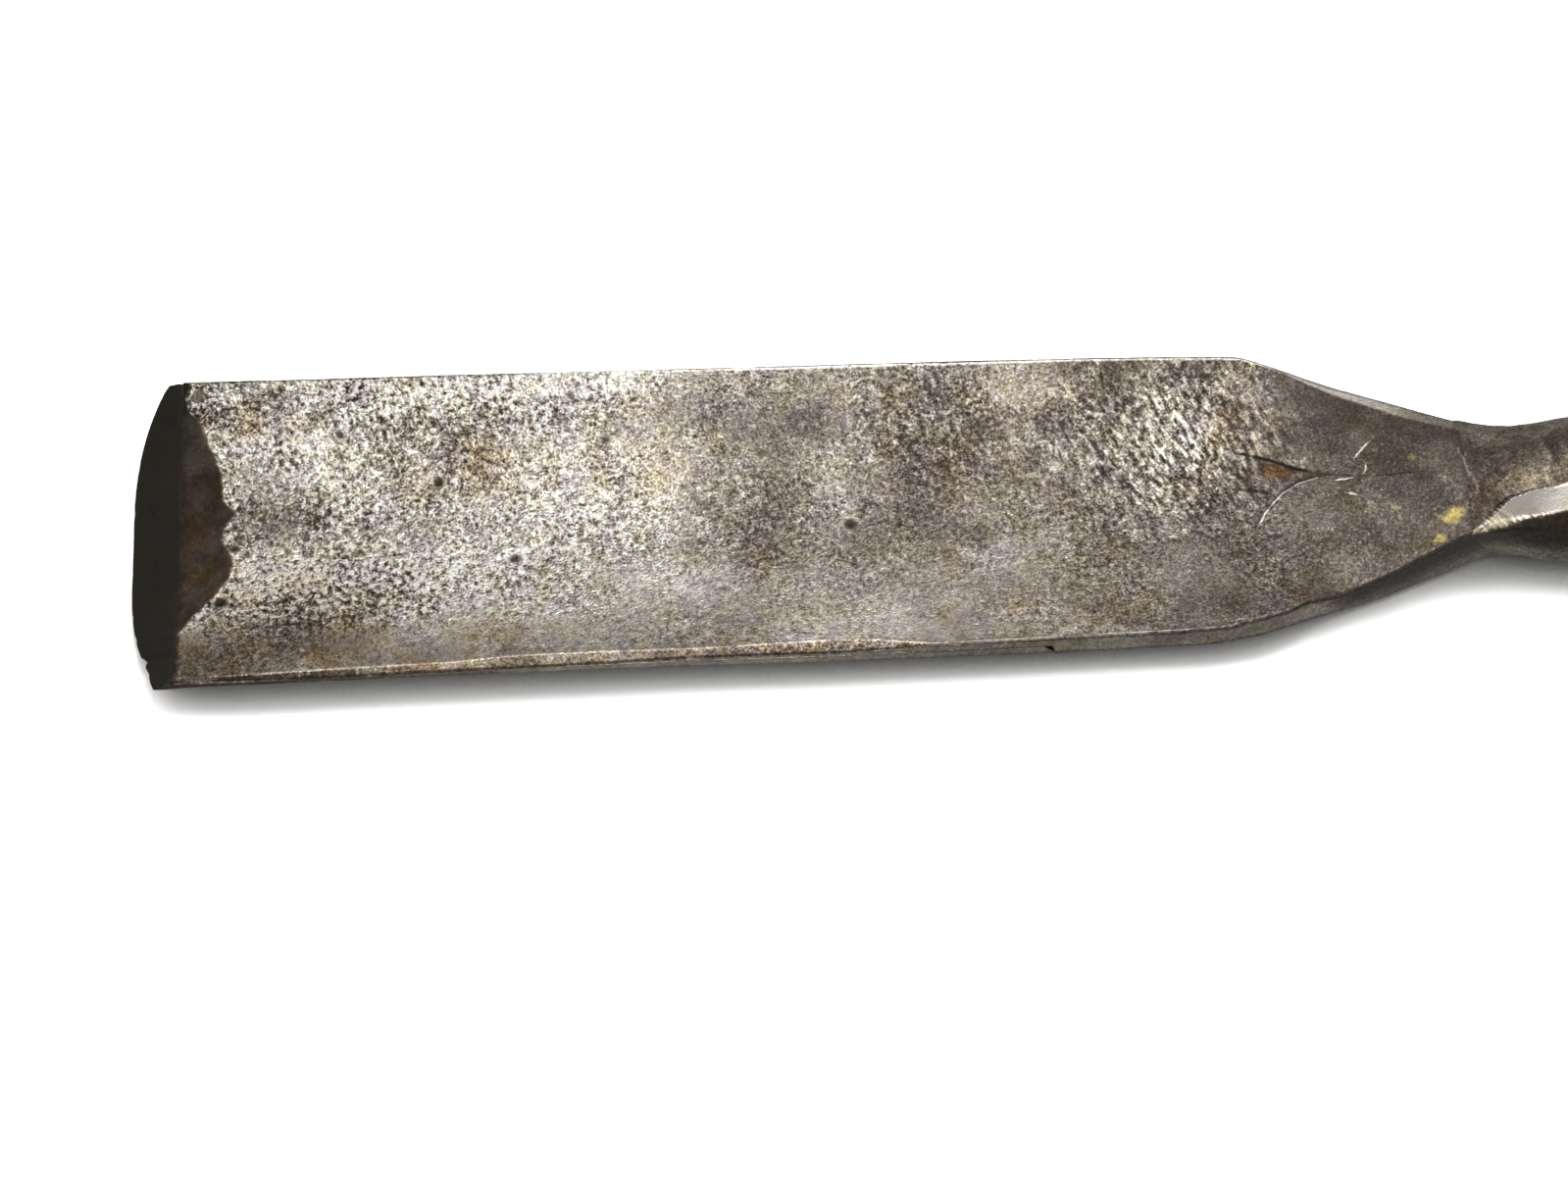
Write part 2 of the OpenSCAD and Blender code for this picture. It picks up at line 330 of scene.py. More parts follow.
# The flute's floor is uneven, so the ground bevel ends in scallops, given as (v, s)
SCALLOPS = [(-1.0, 8.8), (-0.8, 8.9), (-0.64, 8.7), (-0.52, 10.8), (-0.43, 12.9), (-0.33, 15.0),
            (-0.24, 16.2), (-0.13, 16.3), (-0.06, 15.0), (0.02, 14.5), (0.1, 15.2), (0.17, 16.8),
            (0.24, 14.6), (0.4, 14.4), (0.5, 13.7), (0.6, 12.5), (0.69, 11.7), (0.75, 11.1), (0.79, 10.2),
            (0.82, 9.1), (0.9, 9.0), (1.0, 9.6)]


def bevel_s(v):
    """Where the ground bevel ends."""
    return follow(v, SCALLOPS) + 0.12 * np.sin(61 * v) + 0.08 * np.sin(137 * v + 1)


def weld_s(v):
    """Where the steel ends and the iron begins on the bevel."""
    return np.minimum(8.0 + 0.8 * v * v + 0.08 * np.sin(23 * v), bevel_s(v) - 0.3)


def steel_part(v):
    """Share of the bevel that is steel."""
    return (weld_s(v) - edge_s(v)) / (bevel_s(v) - edge_s(v))


def bevel_h(v, t):
    """Height of the ground bevel at a share t of its length."""
    return EDGE_LAND + (full_h(bevel_s(v), v) - EDGE_LAND) * t


def plate_h(s, v):
    """Height of the steel plate behind the bevel."""
    return mix(EDGE_LAND, full_h(s, v), STEEL_SHARE)


# The right rim has a long hammered chamfer: (s, width); its inner edge carries a painted highlight: (s, how
# much)
RIM_CHAMFER = [(4, 0.8), (17, 0.85), (32, 1.25), (51, 1.35), (60, 1.9), (72, 1.8), (88, 1.4), (98, 1.7),
               (108, 2.0), (116, 1.5), (123, 0.45), (130, 0.3), (176, 0.3)]
CHAMFER_EDGE_HIGHLIGHT = [(6, 0.02), (17, 0.12), (31, 0.24), (50, 0.08), (69, 0.10), (88, 0.04), (107, 0.05), (126, 0.15),
            (140, 0.42), (154, 0.48), (166, 0.30), (180, 0.3), (184, 0.0)]
CHAMFER_SLOPE = 0.42
ARRIS_R = 0.4
SHOULDER_ARRIS_R = 1.0


def rim_drop(s, v):
    """How much the rims are rounded and chamfered down."""
    rim = (1 - np.abs(v)) * half_w(s, v)
    radius = np.where(v > 0, mix(ARRIS_R, SHOULDER_ARRIS_R, ease((s - 171) / 10)), ARRIS_R)
    radius = np.minimum(radius, 0.3 * wall_h(s))
    inside = np.clip(radius - rim, 0, None)
    rounded = radius - np.sqrt(np.clip(radius * radius - inside * inside, 0, None))
    width = follow(s, RIM_CHAMFER) * (v < 0)
    return rounded + CHAMFER_SLOPE * np.clip(width - rim, 0, None)


def across(count):
    """Places across from -1 to 1, twice as close at the rims as in the middle."""
    even = np.linspace(-1, 1, count)
    return (even + np.sin(even * math.pi / 2)) / 2


# Parts of a ring round the blade, and a length that is as good as nothing
FOOT, WALL, TOP = range(3)
TINY = 1e-6

# How many places a ring has: along its foot, over its top and up each wall
IRON_RING = (56, 158, 14)
STEEL_RING = (110, 90, 6)


def ring_v(ring):
    """How far across the blade each place of a ring lies, from -1 to 1."""
    foot_n, top_n, wall_n = ring
    return np.concatenate([across(foot_n), np.ones(wall_n), across(top_n)[::-1], -np.ones(wall_n)])[None, :]


def ring_grid(places, lows, highs, ring, foot_round):
    """Rings round the blade: along the foot, up the left wall, back along the top and down the right wall.

    A ring's place along the blade may differ between its foot (rise 0) and its top (rise 1).
    """
    foot_n, top_n, wall_n = ring
    foot_v = across(foot_n)[None, :]
    top_v = across(top_n)[None, ::-1]
    s, low, high = places(foot_v, 0), lows(foot_v), highs(foot_v, 0)
    rim = (1 - np.abs(foot_v)) * half_w(s, foot_v)
    radius = np.minimum(foot_round(s), 0.45 * (high - low))
    inside = np.clip(radius - rim, 0, None)
    lift = radius - np.sqrt(np.clip(radius * radius - inside * inside, 0, None))
    foot = section(s, foot_v, low + lift)
    top = section(places(top_v, 1), top_v, highs(top_v, 1))
    up = np.arange(1, wall_n + 1)[None, :] / (wall_n + 1)
    walls = []
    for side, j in ((1.0, -1), (-1.0, 0)):
        v = np.full((1, 1), side)
        start = (low + lift)[:, [j]]
        at = places(v, 0) + (places(v, 1) - places(v, 0)) * up
        walls.append(section(at, v + 0 * up, start + (highs(v, up) - start) * up))
    part = np.repeat([FOOT, WALL, TOP, WALL], [foot_n, wall_n, top_n, wall_n])
    return np.concatenate([foot, walls[0], top, walls[1][:, ::-1]], axis=1), part


def outward(grid):
    """Unit normals of a grid of rings."""
    along = np.gradient(grid, axis=0)
    round_ = np.roll(grid, -1, axis=1) - np.roll(grid, 1, axis=1)
    normal = np.cross(round_, along)
    return normal / np.maximum(np.linalg.norm(normal, axis=-1, keepdims=True), 1e-9)


def zip_end(ring, foot_n, first):
    """Triangles that close the end of a blade ring, between its foot and the rest of it."""
    lower = list(range(foot_n))
    upper = list(range(len(ring) - 1, foot_n - 1, -1))
    a, b, made = 1, 0, [(lower[0], lower[1], upper[0])]
    while a < foot_n - 1 or b < len(upper) - 1:
        last_a, last_b = a == foot_n - 2, b == len(upper) - 1
        if a == foot_n - 1 or (not last_b and (last_a or ring[upper[b + 1]][1] < ring[lower[a + 1]][1])):
            made.append((lower[a], upper[b + 1], upper[b]))
            b += 1
        else:
            made.append((lower[a], lower[a + 1], upper[b]))
            a += 1
    return [tuple(first + k for k in face) for face in made]


def ring_faces(rings, count):
    """Quads between neighbouring rings."""
    i, j = np.meshgrid(np.arange(rings - 1), np.arange(count), indexing="ij")
    a, b = i * count + j, i * count + (j + 1) % count
    return np.stack([a, a + count, b + count, b], axis=-1).reshape(-1, 4).tolist()


def zipped_ends(grid, foot_n):
    """All places and faces of a blade piece that is closed at both ends."""
    rings, count = grid.shape[:2]
    faces = ring_faces(rings, count) + zip_end(grid[0], foot_n, 0)
    faces += zip_end(grid[-1], foot_n, (rings - 1) * count)
    return grid.reshape(-1, 3), faces


def fan_ends(grid):
    """All places and faces of a round piece that is closed at both ends by fans."""
    rings, count = grid.shape[:2]
    flat = grid.reshape(-1, 3)
    ends = np.array([flat[:count].mean(axis=0), flat[-count:].mean(axis=0)])
    base = (rings - 1) * count
    faces = ring_faces(rings, count)
    faces += [(len(flat), (j + 1) % count, j) for j in range(count)]
    faces += [(len(flat) + 1, base + j, base + (j + 1) % count) for j in range(count)]
    return np.concatenate([flat, ends]), faces


def inside_cad(places_mm, node):
    """Keeps a worn surface inside the CAD piece's own box."""
    low, high = box_mm(node)
    return np.clip(places_mm, low, high)


def make_piece(name, places_mm, faces, marks, body, node, material):
    """A closed mesh from places in millimetres, with its marks of wear and of painted light, put in the
    frame.
    """
    mesh = bpy.data.meshes.new(name)
    mesh.from_pydata((inside_cad(places_mm, node) * MM).tolist(), [], faces)
    solid = bmesh.new()
    solid.from_mesh(mesh)
    bmesh.ops.recalc_face_normals(solid, faces=solid.faces)
    solid.to_mesh(mesh)
    solid.free()
    mesh.shade_smooth()
    mesh.set_sharp_from_angle(angle=math.radians(50))
    for mark, values in marks.items():
        layer = mesh.attributes.new(mark, "FLOAT", "POINT")
        layer.data.foreach_set("value", np.ravel(values).astype(np.float32))
    piece = bpy.data.objects.new(name, mesh)
    bpy.context.scene.collection.objects.link(piece)
    mesh.materials.append(material)
    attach(piece, body)
    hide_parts(node)


# Wear and painted light and shade on the blade


# Crow's foot where the flute runs out: the surface between its two creases lies lower
CREASE_LEFT = [(170.0, 7.6), (173.5, 6.8), (177.5, 5.6), (181.4, 3.8), (186.0, 2.4)]
CREASE_RIGHT = [(175.2, -4.8), (176.0, -3.4), (177.4, -1.6), (179.1, 0.0), (181.7, 1.4), (184.5, 2.0),
                (186.0, 2.2)]
CREASE_DEEP = 0.45
CREASE_RUN = [(186.0, 2.3), (190.0, 1.6), (194.5, 1.0), (198.6, 0.9)]
FAINT_CREASE = [(171.8, 1.0), (174.4, 0.7), (176.6, 0.2)]

# Single pits on the blade: (s, y, radius, depth)
LONE_PITS = [(48.2, 7.9, 0.9, 0.35), (60.0, -5.3, 0.8, 0.4), (14.9, -10.8, 0.9, 0.5), (112.0, -1.9, 0.9, 0.3),
             (16.7, -1.7, 0.6, 0.35), (74.3, 13.5, 0.6, 0.25), (127, 14.6, 0.6, 0.2), (69, 20.5, 0.5, 0.2),
             (92, -12, 0.6, 0.2), (33, 16, 0.6, 0.25), (151, 9.5, 0.7, 0.2), (160, -6, 0.5, 0.15)]

# Bright scratches behind the shoulders, and the pale line of the scarf weld
SCRATCHES = [[(190.6, 4.9), (191.8, 6.2), (193.5, 7.7)], [(189.0, -1.2), (189.9, -1.6)],
             [(191.9, 3.0), (191.6, 2.0), (190.4, 1.4), (187.5, 1.2)]]
SCARF_LINE = [(205.8, 3.9), (206.4, 2.2), (206.6, 0.2), (207.6, -1.6), (207.9, -2.8), (207.6, -3.9)]

# Lines on the flute: course, half-width, and how much brighter or darker than the metal beside them
# The creases' dark lines are painted shade, and the bright line on the right crease's step is a painted
# highlight
LINES_AND_PAINTED_CREASES = [(CREASE_LEFT[1:], 0.24, -0.55), (CREASE_RIGHT[:-1], 0.20, 0.42), (CREASE_RUN, 0.18, -0.14),
         (FAINT_CREASE, 0.35, -0.2), (SCARF_LINE, 0.24, 0.34)] + [(line, 0.22, 0.38) for line in SCRATCHES]


def drawn_lines(place, s, y, v):
    """For the nearest line: the distance from it, counted in its half-widths, and its strength."""
    rim = (1 - np.abs(v)) * half_w(s, v)
    width = follow(s, RIM_CHAMFER)
    worn = ease(0.8 + 0.9 * lumps(place, 1.6, 14))
    found = [(beside(s, y, line) / half, power * worn) for line, half, power in LINES_AND_PAINTED_CREASES]
    # A painted highlight line along the inner edge of the right rim's chamfer
    found.append(((rim - width) / 0.28, follow(s, CHAMFER_EDGE_HIGHLIGHT) * worn * (v < 0)))
    # A painted highlight line along the left arris
    found.append(((rim - 0.45) / 0.42, 0.36 * (v > 0) * ease((s - 60) / 50) * ease((180 - s) / 4)))
    away, power = np.full(np.shape(rim), 9.0), np.zeros(np.shape(rim))
    for off, strength in found:
        closer = np.abs(off) < np.abs(away)
        away = np.where(closer, off, away)
        power = np.where(closer, strength * np.clip(4 - np.abs(off), 0, 1), power)
    return away, power


# Slant of the hammer marks across the blade
HAMMER_TURN = math.radians(-62)


def hammering(s, y):
    """Slanting hammer marks, long one way and short the other, from -1 to 1."""
    long_way = s * math.cos(HAMMER_TURN) + y * math.sin(HAMMER_TURN)
    short_way = y * math.cos(HAMMER_TURN) - s * math.sin(HAMMER_TURN)
    return lumps(np.stack([long_way / 3.2, short_way / 1.25, 0 * s], axis=-1), 1.0, 31)


def in_crowfoot(s, y):
    """1 between the two creases behind the flute's end."""
    left = follow(s, CREASE_LEFT)
    right = follow(s, CREASE_RIGHT)
    return ease((left - y) / 0.4) * ease((y - right) / 0.5) * ease((s - 174) / 8) * (s < 186)


def sandiness(place, s, y):
    """How coarse and sandy the flute is pitted, from 0 to 1."""
    front = 1 - 0.85 * ease((s - 62) / 45)
    lower = 1 - 0.45 * ease((-y - 12) / 8)
    hammered = 0.75 * patch(s, y, (163, 10), (20, 20))
    sand = np.clip(np.maximum(front * lower, hammered), 0.5, 1) * (1 - 0.6 * ease((s - 174) / 10))
    sand = sand * mix(0.5, 1.15, 0.5 + 0.7 * lumps(place, 13, 8) + 0.5 * lumps(place, 4.5, 9))
    sand = sand * (1 - 0.5 * ease((-y - 21) / 1.5) * swell(s, 20, 130))
    sand = sand + 0.75 * patch(s, y, (30, -10), (42, 9)) + 0.40 * ease((y - 15) / 6) * ease((70 - s) / 30)
    for s0, y0, radius, _ in LONE_PITS:
        sand = sand * ease(np.hypot(s - s0, y - y0) / radius - 0.8)
    return sand


# Wear of the flute: the waves left by the hammer, the sandy grit, the larger pits and the dented places,
# and how wide and deep the creases, the scarf and the scratches are cut
FLUTE_WAVES = [(0.10, 15, 2), (0.045, 6, 3), (0.02, 2.4, 4)]
FLUTE_GRIT = [(0.03, 0.8, 6)]
FLUTE_PITS = [(0.09, 1.3, 0.7, 5), (0.16, 5.0, 0.35, 7)]
HAMMERED_IN = [(163, 9, 20, 20, 0.12), (40, 12, 40, 14, 0.06)]
CREASE_W = 0.8
CREASE_CUT = 0.15
SCARF_CUT = 0.12
SCRATCH_CUT = 0.10


def flute_wear(place, s, y):
    """Depth of the wear in the flute, below the CAD surface."""
    sand = sandiness(place, s, y)
    deep = uneven(place, FLUTE_WAVES) + sand * (pitting(place, FLUTE_PITS) + uneven(place, FLUTE_GRIT))
    deep = deep + patches(s, y, HAMMERED_IN) * (1 + hammering(s, y))
    for s0, y0, radius, depth in LONE_PITS:
        far = np.hypot(s - s0, y - y0) / radius
        deep = deep + depth * np.clip(1 - far ** 3, 0, 1)
    deep = deep + CREASE_DEEP * in_crowfoot(s, y)
    deep = deep + CREASE_CUT * stroke(s, y, CREASE_LEFT, CREASE_W) * ease((s - 172) / 3)
    for line in SCRATCHES:
        deep = deep + SCRATCH_CUT * stroke(s, y, line, CREASE_W)
    return deep + SCARF_CUT * stroke(s, y, SCARF_LINE, CREASE_W)


# Where the flute is lighter or darker: (s, y, reach along, reach across, how much)
LIGHTER_PATCHES = [(24, 15.5, 7, 5, 0.09), (26, -8, 15, 5, 0.09), (109, 1, 10, 6, 0.09), (110, -19, 14, 5, 0.06),
          (165, -21, 16, 3, 0.08), (183.5, -17.5, 3.5, 3.5, 0.28), (74, 2, 22, 16, 0.12),
          (50, -6, 34, 8, 0.13),
          (20, -7, 14, 6, 0.17), (28, 15, 16, 8, 0.04), (163, 11, 10, 9, 0.10), (150, -20, 12, 5, 0.08),
          (116, -19, 34, 7, 0.18), (12, 14, 6, 6, 0.10), (106, -22, 16, 5, 0.14), (128, -22, 26, 4, 0.10),
          (60, 4, 14, 7, 0.06), (54, -17, 26, 6, 0.10), (64, 21, 40, 4, 0.05), (134, -8, 30, 5, 0.05),
          (140, 19, 15, 6, 0.07), (84, -10, 20, 6, 0.05), (36, 22, 30, 4, 0.07), (72, 15, 14, 9, 0.05)]
DARKER_PATCHES = [(13, 19.5, 5, 4, 0.18), (32, 18.5, 9, 5, 0.08), (30, 4, 10, 5, 0.07), (73, 19, 9, 4, 0.12),
           (87, 4, 7, 9, 0.08), (105, 14, 9, 5, 0.07), (122, 0, 9, 15, 0.09), (145, -10, 17, 5, 0.07),
           (170, -11, 9, 7, 0.08), (128, 14, 19, 11, 0.06), (24, 3, 12, 6, 0.17), (40, 2, 12, 6, 0.04),
           (21, 21, 7, 4, 0.14), (47, 15, 16, 7, 0.07), (26, -17, 18, 7, 0.15), (96, 15, 18, 14, 0.07),
           (152, 16, 28, 9, 0.06), (172, -3, 9, 10, 0.03), (168, -19, 12, 6, 0.05), (172, 19, 12, 9, 0.11),
           (82, 15, 16, 6, 0.04), (140, 4, 20, 7, 0.06), (8, -22, 26, 6, 0.2)]

# The lower side of the flute is painted lighter than the rest, a painted sheen: (s, how much)
LOW_SIDE_PAINTED_LIGHT = [(25, 0.0), (38, 0.05), (60, 0.06), (80, 0.14), (130, 0.13), (158, 0.03)]

# Width of the painted highlight along the left rim of the shoulder: (s, width)
LEFT_ARRIS_HIGHLIGHT = [(170, 0.0), (176, 0.9), (182, 1.3), (189, 2.3), (198, 3.1), (203, 2.8), (212, 2.6)]

# The chamfer is darker than the flute, most of all near the cutting edge: (s, how much)
CHAMFER_SHADE = [(10, 0.52), (24, 0.40), (38, 0.24), (60, 0.20), (110, 0.25)]

# Clouds of lighter and darker metal, and the painted highlight of a bright wedge near the right rim before
# the shoulder
CLOUDS = [(0.4, 11, 11), (0.35, 4.5, 12), (0.35, 2.2, 13)]
WEDGE_HIGHLIGHT_FROM = [(142.7, 17.0), (152.7, 21.8)]
WEDGE_HIGHLIGHT_TONE = 0.68


def flute_tone(place, s, y, v):
    """How bright the flute's metal is, from 0 for black scale to 1 for bare bright metal."""
    cloud = blotches(place, CLOUDS)
    tone = mix(0.62, 0.465, (s - 76) / 26) + 0.13 * cloud + ease((-y - 5) / 7) * follow(s, LOW_SIDE_PAINTED_LIGHT)
    # A painted highlight along the left rim
    tone = tone + 0.05 * ease((y - 19) / 3) * swell(s, 5, 130)
    tone = tone + patches(s, y, LIGHTER_PATCHES) - patches(s, y, DARKER_PATCHES)
    shoulder = ease((s - 170 + 0.25 * y) / 10)
    tone = mix(tone, mix(0.40, 0.315, (s - 180) / 20) + 0.12 * cloud, shoulder)
    for s0, y0, radius, depth in LONE_PITS:
        tone = tone - 1.2 * depth * np.clip(1 - (np.hypot(s - s0, y - y0) / radius) ** 4, 0, 1)
    # The bright wedge near the right rim is a painted highlight
    wedge_highlight = ease((-y - follow(s, WEDGE_HIGHLIGHT_FROM)) / 0.8) * ease((s - 122) / 22) * (s < 156)
    tone = mix(tone, WEDGE_HIGHLIGHT_TONE, 0.8 * wedge_highlight)
    rim = (1 - np.abs(v)) * half_w(s, v)
    # The painted highlight along the left rim of the shoulder
    left_highlight = (v > 0) * ease((follow(s, LEFT_ARRIS_HIGHLIGHT) - rim) / 0.7)
    width = follow(s, RIM_CHAMFER) * (v < 0)
    chamfer = ease((width - rim) / 0.3) * ease((width - 0.4) / 0.4)
    tone = tone - follow(s, CHAMFER_SHADE) * chamfer
    return tone + 0.42 * left_highlight * (1 - 0.55 * ease((s - 191) / 14))


# How bright the right wall is along the blade: (s, tone)
WALL_TONES = [(5, 0.24), (30, 0.37), (50, 0.48), (68, 0.66), (90, 0.66), (125, 0.61), (160, 0.59)]

# Grain of the walls, and how dark the shoulder's right wall is painted as reflection, from its foot to its
# rim: (rise, tone)
WALL_GRAIN = [(0.06, 6, 45), (0.05, 1.5, 46)]
HOLLOW_SHADE_TONES = [(0.15, 0.45), (0.65, 0.13)]
LEFT_WALL_TONE = 0.37


def wall_tone(place, s, y, rise):
    """How bright the side walls are; rise runs from 0 at the foot to 1 at the rim."""
    grain = blotches(place, WALL_GRAIN)
    # The right wall is painted darker just under its rim and at its foot, as shade
    lit = follow(s, WALL_TONES) + grain - mix(0.28, 0.40, (s - 125) / 15) * ease((rise - 0.72) / 0.2)
    lit = lit - 0.22 * ease((0.22 - rise) / 0.2)
    # The shoulder's right wall: dark near its rim and lighter at its foot, a painted reflection
    hollow_shade = follow(rise, HOLLOW_SHADE_TONES) + 0.04 * lumps(place, 4, 49)
    left = LEFT_WALL_TONE + grain + 0.06 * ease((rise - 0.8) / 0.2)
    return np.where(y < 0, mix(lit, hollow_shade, ease((s - 182) / 8)), left)


# Brown rust: its blotches, the places where it gathers, and the spot beneath the crow's foot
RUST_BLOTCHES = [(0.55, 9, 21), (0.35, 3.5, 22)]
RUSTY = [(60, 9, 34, 9, 0.2), (22, -19, 32, 9, 0.34), (20, -8, 28, 10, 0.42)]
RUST_SPOT = [(179.6, 3.6, 7.5, 2.5, 2.2)]
RUST_MOST = 0.66


def rust_on(place, s, y):
    """Where brown rust tints the metal, from 0 to 1."""
    rust = 0.6 * ease(blotches(place, RUST_BLOTCHES) + 0.12) + patches(s, y, RUSTY)
    rust = rust + 0.22 * ease((-y - 21.5) / 1.5) * swell(s, 50, 135)
    rust = rust + 0.26 * ease((-y - 12) / 6) * ease((160 - s) / 10)
    beneath = ease((follow(s, CREASE_LEFT) - y) / 0.4)
    return np.clip(rust, 0, RUST_MOST) + patches(s, y, RUST_SPOT) * beneath


# Old yellow lacquer on the neck: two flecks, and the crumbs beside them
LACQUER = [(204.2, -6.6, 3.6, 2.3, 3.0), (201.2, -10.3, 2.3, 1.5, 3.0), (196, -5.5, 11, 6, 0.935),
           (200, 3.5, 7, 3, 0.85)]


def lacquer_on(place, s, y):
    """Where lacquer is left, from 0 to 1."""
    return np.clip(patches(s, y, LACQUER) + 1.5 * lumps(place, 0.9, 23) - 1.5, 0, 1)


# Where the hammer marks show most
HAMMER_PLACES = [(163, 9, 28, 22, 1.0), (128, 12, 30, 16, 0.25)]


def hammered(s, y):
    """Where slanting hammer marks show in the flute, from 0 to 1."""
    upper = ease((y - 2) / 9) * swell(s, -20, 100)
    return np.clip(patches(s, y, HAMMER_PLACES) + 0.45 * upper, 0, 1)


# Pieces of the blade


# How bright the iron is on the bevel, across it: the left end is as black as the steel
# The bevel's darkness is partly patina and partly a painted dark reflection
BEVEL_TONES = [(-1.0, 0.24), (-0.7, 0.31), (-0.4, 0.41), (0.0, 0.39), (0.4, 0.28), (0.6, 0.34), (0.76, 0.33),
               (0.82, 0.13), (1.0, 0.12)]


# How many rows of places the iron has: on its bevel, behind it, over the plate, over the bare iron and
# round the shoulders, before the scarf and on the slant to it
BEVEL_ROWS = 18
BEHIND_ROWS = 50
PLATED_ROWS = 168
BARE_ROWS = (42, 72, 22)
SLANT_ROWS = 18
EDGE_ROWS = 40
SHOULDERS = (169, 188)


def iron_stations():
    """Shares of the bevel, shares of the stretch behind it, and places along the straight part."""
    bevel = np.linspace(0, 1, BEVEL_ROWS)[:, None]
    behind = np.linspace(0, 1, BEHIND_ROWS)[1:, None]
    plated = np.linspace(STRAIGHT_S, STEEL_L, PLATED_ROWS)[1:]
    stops = (STEEL_L + WELD_LINE, *SHOULDERS, SLANT_S)
    bare = [np.linspace(start, end, count)[:-1] for start, end, count in zip(stops, stops[1:], BARE_ROWS)]
    return bevel, behind, np.concatenate([plated, *bare, [SLANT_S]])[:, None]


def behind_s(v, share):
    """Places at a share of the way from the end of the bevel to where the rings run straight across."""
    return bevel_s(v) + share * (STRAIGHT_S - bevel_s(v))


def laid_h(v, share):
    """Height of the weld over the stretch behind the bevel."""
    return mix(bevel_h(v, steel_part(v)), plate_h(behind_s(v, share), v), ease(share))


def plate_end_h(s, v):
    """Height of the weld where the plate runs straight, and of the plate's own end."""
    return np.where(s < STEEL_L - TINY, plate_h(s, v), STEEL_END_T + 0 * v)


def iron_rings():
    """Rings of the unworn iron from the weld on the bevel to the scarf, and how many lie on the bevel."""
    bevel, behind, straight = iron_stations()
    slant = np.linspace(0, 1, SLANT_ROWS)[1:, None]

    def places(v, rise):
        return np.concatenate([
            weld_s(v) + bevel * (bevel_s(v) - weld_s(v)) + 0 * rise,
            behind_s(v, behind) + 0 * rise,
            straight + 0 * v + 0 * rise,
            SLANT_S + slant * (SCARF_S + SCARF_L * (1 - rise) - SLANT_S) + 0 * v])

    def lows(v):
        ground = bevel_h(v, steel_part(v)) + 0 * bevel
        plated = np.where(straight > STEEL_L + TINY, 0, plate_end_h(straight, v))
        return np.concatenate([ground, laid_h(v, behind), plated, 0 * v + 0 * slant])

    def highs(v, rise):
        steel = steel_part(v)
        ground = bevel_h(v, steel + bevel * (1 - steel)) + IRON_LIP * (1 - bevel)
        ground = ground - rim_drop(bevel_s(v), v) * bevel ** 2 * 0.8
        rest = places(v, rise)[len(bevel):]
        return np.concatenate([ground + 0 * rise, full_h(rest, v) - rim_drop(rest, v)])

    grid, part = ring_grid(places, lows, highs, IRON_RING, lambda s: 0.25 * ease((s - 143) / 3))
    return grid, part, len(bevel)


# Wear of the iron away from the flute: waves as (depth, size, seed), pits as (depth, size, share, seed)
IRON_WAVES = [(0.05, 11, 41), (0.03, 4, 42)]
IRON_PITS = [(0.10, 3, 0.3, 43)]
BEVEL_WAVES = [(0.02, 6, 44)]
BEVEL_GRAIN = [(0.08, 4, 48), (0.08, 1.4, 50)]


def bevel_tone(place, s, v):
    """How bright the iron is on the bevel; it is darker close behind the weld."""
    tone = follow(v, BEVEL_TONES) + blotches(place, BEVEL_GRAIN)
    return tone - 0.09 * ease((1.4 - s + weld_s(v)) / 1.4 + 0.4 * lumps(place, 2, 59))


def blade_iron_piece(material):
    """Makes the blade's iron and returns the ring at its scarf, where the socket starts."""
    place, part, bevel_n = iron_rings()
    row = np.arange(len(place))[:, None]
    on_bevel = (part == TOP) & (row < bevel_n)
    in_flute = (part == TOP) & (row >= bevel_n)
    back = part == FOOT
    s, y, z = place[..., 0] - START_X, place[..., 1], place[..., 2]
    v = ring_v(IRON_RING)
    bare = np.where(back, s > STEEL_L + 0.5, True)
    bare[-1] = False
    deep = np.where(in_flute, flute_wear(place, s, y) * ease((row - bevel_n + 1) / 3),
                    uneven(place, IRON_WAVES) + pitting(place, IRON_PITS))
    deep = np.where(on_bevel, uneven(place, BEVEL_WAVES), deep)
    grid = place - outward(place) * (deep * bare)[..., None]
    rise = (z - back_at(s, np.sign(y))) / wall_h(s)
    tone = np.where(in_flute, flute_tone(place, s, y, v), wall_tone(place, s, y, rise))
    tone = np.where(back, 0.40 + 0.08 * lumps(place, 8, 47), tone)
    # The line marks hold painted shade and highlights along creases and arrises, and the real scratches and
    # weld line
    away, power = drawn_lines(place, s, y, v)
    plain_rust = np.where(back, 0.35, 0.1) + 0.7 * on_bevel * (v < 0.45)
    marks = {
        "tone": np.clip(np.where(on_bevel, bevel_tone(place, s, v), tone), 0.02, 1),
        "sand": np.where(on_bevel, 0.15, np.where(in_flute, sandiness(place, s, y), 0.2)),
        "rust": np.where(in_flute, rust_on(place, s, y), plain_rust),
        "lacquer": np.where(in_flute, lacquer_on(place, s, y), 0),
        "ground": on_bevel * 1.0,
        "hammer": np.where(in_flute, hammered(s, y), 0),
        "line_side": away,
        "line": np.where(in_flute, power, 0),
    }
    flat, faces = zipped_ends(grid, IRON_RING[0])
    make_piece("forged_blade", flat, faces, marks, "forging", "blade_iron", material)
    return grid[-1]


